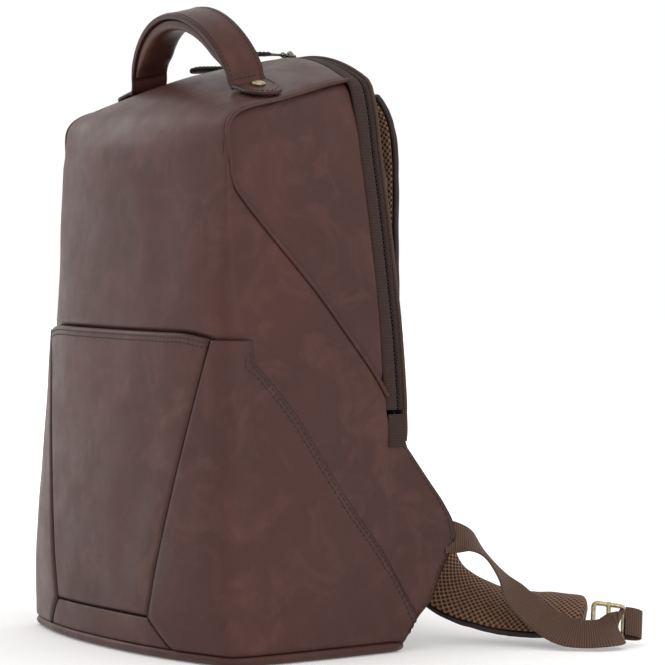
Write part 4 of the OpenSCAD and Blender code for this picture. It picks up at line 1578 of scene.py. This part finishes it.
def pad(name, corners, node, channels):
    """Foam pad under open mesh: blown up, then stitched down round its edge."""
    x0, x1 = min(x for x, z in corners) - PAD_R, max(x for x, z in corners) + PAD_R
    z0, z1 = min(z for x, z in corners) - PAD_R, max(z for x, z in corners) + PAD_R
    verts = []
    layers = ((0.0004, 0.0012), (0.0028, 0.0004), (0.0056, 0.0030), (0.0064, 0.0070))
    for h, g in layers:
        verts += [V((x, PAD_Y + h, z)) for x, z in rounded(corners, PAD_R - g)]
    ob = new_obj(name, verts, closed(len(layers), len(verts) // len(layers)), MESH)
    face_out(ob)

    def keep(new):
        return V((clamp(new.x, x0 - 0.001, x1 + 0.001), clamp(new.y, PAD_Y, PAD_Y + 0.0105),
                  clamp(new.z, z0 - 0.001, z1 + 0.001)))
    swollen(ob, 4.0, 0.006, keep)
    for v in ob.data.vertices:
        h = v.co.y - PAD_Y
        if h < 0.002:
            continue
        d = edge_distance(v.co.x, v.co.z, corners, PAD_R)
        k = ease(d / 0.016) ** 0.8
        groove = 1.0
        for a, b in channels:
            far = to_segment(v.co.x, v.co.z, a, b)
            groove = min(groove, 0.42 + 0.58 * ease(far / 0.007))
        high = lerp(0.0024, 0.0103, k) * groove
        v.co.y = PAD_Y + min(h * 1.5, high) + 0.0006 * noise.noise(v.co * 70)
    paint_vec(ob, "flow", [(v.co.x + 0.3 * v.co.y, v.co.z * 0.72, 0) for v in ob.data.vertices])
    for piece, _, side in pair(ob):
        riding(piece, "back", "mesh", node + side)
    # turned edge round the pad
    line = [V((x, PAD_Y + 0.0016, z)) for x, z in rounded(corners, PAD_R - 0.0012, 12)]
    line = spaced(line + [line[0]], 0.0025)
    rim = tube("pad_edge", line, 0.0017, BIND, 8, hint=V((0, 1, 0)))
    rim.name = name.replace("pad", "pad_edge")
    for piece, _, _ in pair(rim):
        riding(piece, "back", "webbing")


def back_pads():
    pad("back_pad_top_right", [(x * MM, z * MM) for x, z in (
        (80, 304), (91, 332), (80, 356), (17, 356), (17, 304))], "pad_top_", [])
    pad("back_pad_low_right", [(x * MM, z * MM) for x, z in (
        (92, 72), (100, 190), (91, 272), (17, 272), (17, 72))], "pad_low_",
        [((0.012, 0.208), (0.100, 0.222)), ((0.012, 0.136), (0.100, 0.122))])


YOKE_LOW, YOKE_TOP = 0.3765, 0.4038


def yoke():
    half = through([(YOKE_LOW, 0.0790), (0.384, 0.0775), (0.392, 0.0720), (0.3985, 0.0560),
                    (0.4030, 0.0400), (YOKE_TOP, 0.0340)])
    grid, edge = [], []
    for i in range(25):
        z = lerp(YOKE_LOW, YOKE_TOP, i / 24)
        line, el = [], []
        for k in range(61):
            x = half(z) * (k / 30 - 1)
            d = min(z - YOKE_LOW, 0.4040 - z, (half(z) - abs(x)) * 0.8)
            line.append(V((x, BACK_Y + 0.0052 - 0.0012 * falloff(d, 0.0022)
                           + wobble(V((x, 0.1, z)), 0.3), z)))
            el.append(falloff(d, 0.0024))
        grid.append(line)
        edge.append(el)
    ob = sheet_mesh("yoke_leather", grid, HIDE_B, SKIN, edge, outward=(0, 1, 0))
    riding(ob, "back", "leather", "strap_yoke")
    up, out = [], V((0, 1, 0))
    for z in span(0.3795, 0.4008, 30):
        up.append((V((half(z) - 0.0030, BACK_Y + 0.0053, z)), out))
    lines = [up, [(flip(p), n) for p, n in up],
             [(V((x, BACK_Y + 0.0053, 0.3795)), out) for x in span(-0.0745, 0.0745, 60)],
             [(V((x, BACK_Y + 0.0053, 0.4012)), out) for x in span(-0.044, 0.044, 40)]]
    riding(stitches("yoke_stitching", lines, THREAD), "back", "leather")


# ------------------------------------------------------------------ shoulder straps
STRAP = [[V(p[:3]) * MM, V(p[3:])] for p in (
    (46, 91, 394, 1, 0, 0), (49, 98.5, 376, 1, 0.05, 0), (54, 100, 345, 1, 0.05, 0.1),
    (58, 98.6, 290, 1, 0, 0.05), (60, 98, 230, 1, 0, 0), (62, 98.5, 170, 1, 0, 0.05),
    (68, 104, 124, 0.85, -0.02, 0.5), (80, 120, 82, 0.25, 0.1, 0.96),
    (98, 141, 47, -0.25, 0.45, 0.85), (118, 161, 32, -0.48, 0.6, 0.64),
    (138, 179, 26, -0.53, 0.63, 0.56), (156, 194, 23.5, -0.54, 0.63, 0.54),
    (173, 208.5, 22, -0.54, 0.63, 0.52))]
WEBBING = [[V(p[:3]) * MM, V(p[3:])] for p in (
    (138.5, 109.5, 80.5, -0.3, 0.4, 0.86),
    (141.5, 116.5, 80, -0.4, 0.4, 0.8), (146, 127, 77, -0.7, 0.45, 0.5),
    (150, 137, 67, -0.87, 0.5, 0.1), (156, 147, 52, -0.75, 0.6, 0.15),
    (161, 154, 40, -0.4, 0.75, 0.4), (167, 163, 29, -0.35, 0.7, 0.6),
    (175, 172, 20, -0.4, 0.6, 0.7), (188, 180, 13, -0.55, 0.45, 0.7),
    (198, 191, 11.5, -0.6, 0.4, 0.7), (205, 204, 12.5, -0.6, 0.4, 0.7),
    (203, 215, 15, -0.5, 0.35, 0.75), (196, 218, 18, -0.5, 0.35, 0.78))]
STRAP_HW = through([(0, 0.0300), (0.56, 0.0300), (0.68, 0.0220), (0.78, 0.0225),
                    (0.88, 0.0240), (0.96, 0.0225), (1, 0.0205)])
# how far the strap's middle lies below its CAD line
STRAP_DROP = through([(0, 0), (0.54, 0), (0.68, 0.0075), (0.78, 0.0070), (0.90, 0.0025), (1, 0)])


def guided(points, steps, s0=0.0, s1=1.0):
    """Stations (s, centre, width direction, normal) along a route with a guided width."""
    pts = [p for p, w in points]
    wid = [w for p, w in points]
    ss = span(s0, s1, steps)
    pos = [route(pts, s) for s in ss]
    out = []
    for i, s in enumerate(ss):
        t = heading(pos, i)
        w = route(wid, s)
        w = (w - t * w.dot(t)).normalized()
        out.append((s, pos[i], w, t.cross(w), t))
    return out


ROLL_R = 0.0024   # roll of the leather over the strap's edges


def shoulder_straps():
    rows = [(s, c - w * STRAP_DROP(s), w, n, t) for s, c, w, n, t in guided(STRAP, 150)]
    total = sum((b[1] - a[1]).length for a, b in zip(rows, rows[1:]))

    def tip(s):
        left, right = s * total, (1 - s) * total
        a = math.sqrt(clamp(1 - (1 - clamp(left / 0.010)) ** 2, 0.35, 1))
        b = math.sqrt(clamp(1 - (1 - clamp(right / 0.016)) ** 2, 0.02, 1))
        return min(a, b)
    # leather outer, rolled over both edges
    grid, edge, far = [], [], 0.0
    for i, (s, c, w, n, t) in enumerate(rows):
        far += (c - rows[i - 1][1]).length if i else 0
        hw = STRAP_HW(s) * tip(s)
        pts, el = [], []
        for k in range(61):
            u = k / 30 - 1
            a = abs(u)
            if a < 0.72:
                x, y = u / 0.72 * (hw - ROLL_R), -0.0056
                y -= 0.0006 * (1 - (u / 0.72) ** 2)
            else:
                g = (a - 0.72) / 0.28 * math.pi
                x = math.copysign(hw - ROLL_R + ROLL_R * math.sin(g), u)
                y = -0.0032 - ROLL_R * math.cos(g)
            ripple = 0.0006 * noise.noise(V((u * 0.5, s * 45, 4.2))) * ease(a / 0.7)
            pts.append(c + w * x + n * (y + ripple) + n * wobble(V((x, far, 2.0)), 0.5))
            el.append(0.35 * ease((a - 0.94) / 0.05))
        grid.append(pts)
        edge.append(el)
    mid = rows[len(rows) // 2]
    ob = sheet_mesh("shoulder_strap_right", grid, UNDER_HIDE, 0.0013, edge, None,
                    outward=-mid[3])
    pieces = [(ob, "leather", ("strap_leather_",))]
    # mesh pillow: closed, crowned towards the wearer's side of the bag
    verts, flow, far, cols = [], [], 0.0, 24
    for i, (s, c, w, n, t) in enumerate(rows):
        far += (c - rows[i - 1][1]).length if i else 0
        hw = (STRAP_HW(s) - 0.0016) * tip(s)
        ring = []
        for k in range(cols + 1):
            u = 2 * k / cols - 1
            crown_h = 0.0010 + 0.0050 * (1 - abs(u) ** 2.6) * clamp(tip(s) * 1.2)
            crown_h += 0.0005 * noise.noise(V((u * 1.2, s * 30, 9.1)))
            ring.append((u * hw, crown_h))
        for k in range(cols - 1, 0, -1):
            u = 2 * k / cols - 1
            ring.append((u * hw, -0.0038 * (1 - abs(u) ** 6)))
        for x, y in ring:
            verts.append(c + w * x + n * y)
            flow.append((x, far, 0))
    ob = new_obj("strap_mesh_pad_right", verts, closed(len(rows), len(ring)), MESH_WARM)
    face_out(ob)
    paint_vec(ob, "flow", flow)
    pieces.append((ob, "mesh", ("strap_mesh_", "strap_foam_")))
    # stitching along both edges of the leather
    lines = []
    for sx in (-1, 1):
        lines.append([(c + w * sx * (STRAP_HW(s) * tip(s) - 0.0062) - n * 0.0059, -n)
                      for s, c, w, n, t in rows[4:-6]])
    ob = stitches("strap_stitching_right", lines, THREAD)
    pieces.append((ob, "leather", ()))
    for right, slot, nodes in pieces:
        for ob, _, side in pair(right):
            # the strap's sewn end is on the back; the strap is baked in place and attached to
            # neither body
            bending(ob, ("back", "strap_" + side), (0, 0.09, 0.400), (0, 0.099, 0.345), slot,
                    *[n + side for n in nodes])


def webbing_and_buckle():
    rows = [(c, w, n, 0.0125, 0.0009) for _, c, w, n, _ in guided(WEBBING, 130)]
    web = band_mesh("strap_webbing_right", rows, WEB, 0.0, 12, 0.0005)
    place = (Matrix.Translation(V((187, 219, 18)) * MM)
             @ Matrix.Rotation(math.radians(60), 4, "Z") @ Matrix.Rotation(math.radians(8), 4, "Y")
             @ Matrix.Rotation(math.radians(-40), 4, "X"))
    # frame of rounded wire with a sliding bar
    r = 0.0017
    ring = [V((x, 0, z)) for x, z in rounded(
        [(-0.008, -0.011), (0.008, -0.011), (0.008, 0.011), (-0.008, 0.011)], 0.003, 6)]
    ring = spaced(ring + [ring[0], ring[1]], 0.0008)
    parts = [tube("wire", ring, r, BRASS, 14, hint=V((0, 1, 0)))]
    bar = [V((0, 0.0002, z)) for z in span(-0.0145, 0.0145, 16)]
    parts.append(tube("bar", bar, r * 0.95, BRASS, 14, hint=V((0, 1, 0))))
    for z in (-0.0138, 0.0138):
        parts.append(tube("collar", [V((0, 0.0002, z + d)) for d in span(-0.0016, 0.0016, 6)],
                          0.0026, BRASS, 16, taper=0.25, hint=V((0, 1, 0))))
    buckle = moved(joined("strap_buckle_right", parts), place)
    rows = []
    steps = 60
    for i in range(steps + 1):
        a = math.radians(lerp(-96, 96, i / steps))
        c = V((0.0130 + 0.0112 * math.cos(a), 0.0034 * math.sin(a) * (1 + 0.12 * math.cos(a)), 0))
        t = V((-0.0112 * math.sin(a), 0.0036 * math.cos(a), 0)).normalized()
        rows.append((c, V((0, 0, 1)), V((t.y, -t.x, 0)), 0.0117, 0.0007))
    loop = moved(band_mesh("strap_loop_right", rows, WEB, 0.0, 12, 0.0004), place)
    for ob, slot, node in ((web, "webbing", "webbing_"), (buckle, "brass", "adjuster_"),
                           (loop, "webbing", "web_loop_")):
        for piece, sx, side in pair(ob):
            if ob is web:
                # its sewn end stays in the wing
                bending(piece, ("back", "strap_" + side), (sx * 0.1400, 0.113, 0.0803),
                        (sx * 0.1540, 0.144, 0.057), slot, node + side)
            else:
                riding(piece, "strap_" + side, slot, node + side)


# ------------------------------------------------------------------ stitching on the wings
def wing_stitches(tree):
    lines = []
    for sign, _ in SIDES:
        line = []
        for z in span(0.170, 0.012, 160):
            y = WING(z) - 0.0034
            if y >= SEAM_Y + 0.001:
                p = surf(q_of_y(z, y), z)[0]
                hit, nor = tree.find_nearest(flip(p, sign) + V((sign * 0.004, 0, 0)))[:2]
                line.append((hit, V((sign * abs(nor.x), nor.y, nor.z))))
        lines.append(line)
    riding(stitches("wing_stitching", lines, THREAD), "back", "leather")


# ------------------------------------------------------------------ inside
SLEEVE_HW = 0.106


def inside():
    """Laptop sleeve, organiser pocket and the CAD parts that stay."""
    grid = []
    for i in range(31):
        z = lerp(0.0120, 0.2620, i / 30)
        line = []
        for k in range(41):
            x = lerp(-SLEEVE_HW, SLEEVE_HW, k / 40)
            dip = 0.006 * (1 - (x / SLEEVE_HW) ** 2) * ease((z - 0.22) / 0.042)
            line.append(V((x, 0.0545 - 0.0010 * (1 - (x / SLEEVE_HW) ** 4), z - dip)))
        grid.append(line)
    ob = sheet_mesh("sleeve_cloth", grid, LINING, 0.0014, outward=(0, -1, 0))
    sides = []
    for x in (-0.1052, 0.1052):
        rows = [[V((x, y, z)) for y in span(0.0550, 0.0748, 8)] for z in span(0.0125, 0.2600, 24)]
        sides.append(sheet_mesh("sleeve_side", rows, LINING, 0.0012, outward=(x, 0, 0)))
    ob = joined("sleeve_cloth", [ob] + sides)
    riding(ob, "back", "lining", "laptop_sleeve")
    rim = [p + V((0, -0.0004, 0)) for p in grid[-1]]
    riding(tube("sleeve_binding", rim, 0.0018, BIND, 8), "back", "webbing")
    grid = []
    for i in range(13):
        z = lerp(0.3005, 0.3555, i / 12)
        grid.append([V((x, -0.0552 + 0.0012 * math.sin(x * 55), z))
                     for x in span(-0.079, 0.079, 30)])
    ob = sheet_mesh("organiser_cloth", grid, LINING, 0.0012, outward=(0, 1, 0))
    riding(ob, "front", "lining", "organiser")
    riding(tube("organiser_binding", [p.copy() for p in grid[-1]], 0.0016, BIND, 8), "front",
           "webbing")
    for name in ("base_board", "frame_sheet", "handle_plate"):
        node = bpy.data.objects[name]
        for slot in node.material_slots:
            slot.material = BOARD


# ------------------------------------------------------------------ stage
FLOOR_R = 7.0


def stage():
    n = Nodes("floor_matt")
    here = n.object_space()
    col = n.mix(n.noise(here, 3, 2), (0.86, 0.845, 0.83), (0.88, 0.87, 0.86))
    away = n.add("ShaderNodeVectorMath", {0: here}, operation="LENGTH").outputs["Value"]
    # painted glow: the floor emits white light, 0.12 at the bag rising to 0.6 from 1.4 m out, so
    # that it shows white
    glow = n.mask(n.math("DIVIDE", away, FLOOR_R), 0.0, 0.20, 0.12, 0.6)
    mat = n.set(Base_Color=col, Roughness=0.9, Normal=n.bump(n.noise(here, 300, 2), 0.02, 0.0002),
                Specular_IOR_Level=0.1, Emission_Color=(1, 1, 1), Emission_Strength=glow)
    ring = [V((FLOOR_R * math.cos(a), FLOOR_R * math.sin(a), 0))
            for a in [2 * math.pi * k / 96 for k in range(96)]]
    ob = new_obj("floor", ring, [tuple(range(96))], mat, False)
    world = bpy.data.worlds.new("studio")
    bpy.context.scene.world = world
    world.use_nodes = True
    back = world.node_tree.nodes["Background"]
    back.inputs[0].default_value = (1, 1, 1, 1)
    back.inputs[1].default_value = 1.0
    area_light("key", (-2.6, -0.9, 1.5), (0, -0.05, 0.33), (1.1, 1.1), 10)
    area_light("top", (-0.3, -1.1, 2.5), (0, 0, 0.3), (1.0, 1.0), 2)
    area_light("fill", (2.6, -0.2, 1.3), (0, 0, 0.2), (1.2, 1.2), 11)


WRAP = main_wrap()
WRAP_TREE = BVHTree.FromPolygons([v.co for v in WRAP.data.vertices],
                                 [tuple(f.vertices) for f in WRAP.data.polygons])
pocket_panel()
for SIGN, SIDE in SIDES:
    pocket_wrap(SIGN, SIDE)
    side_panel(SIGN, SIDE)
    piping(SIGN, SIDE)
pocket_strip()
pocket_stitches()
base()
zipper()
slider("right", -4)
slider("left", -19)
handle()
back_fabric()
back_pads()
yoke()
shoulder_straps()
webbing_and_buckle()
wing_stitches(WRAP_TREE)
inside()
stage()
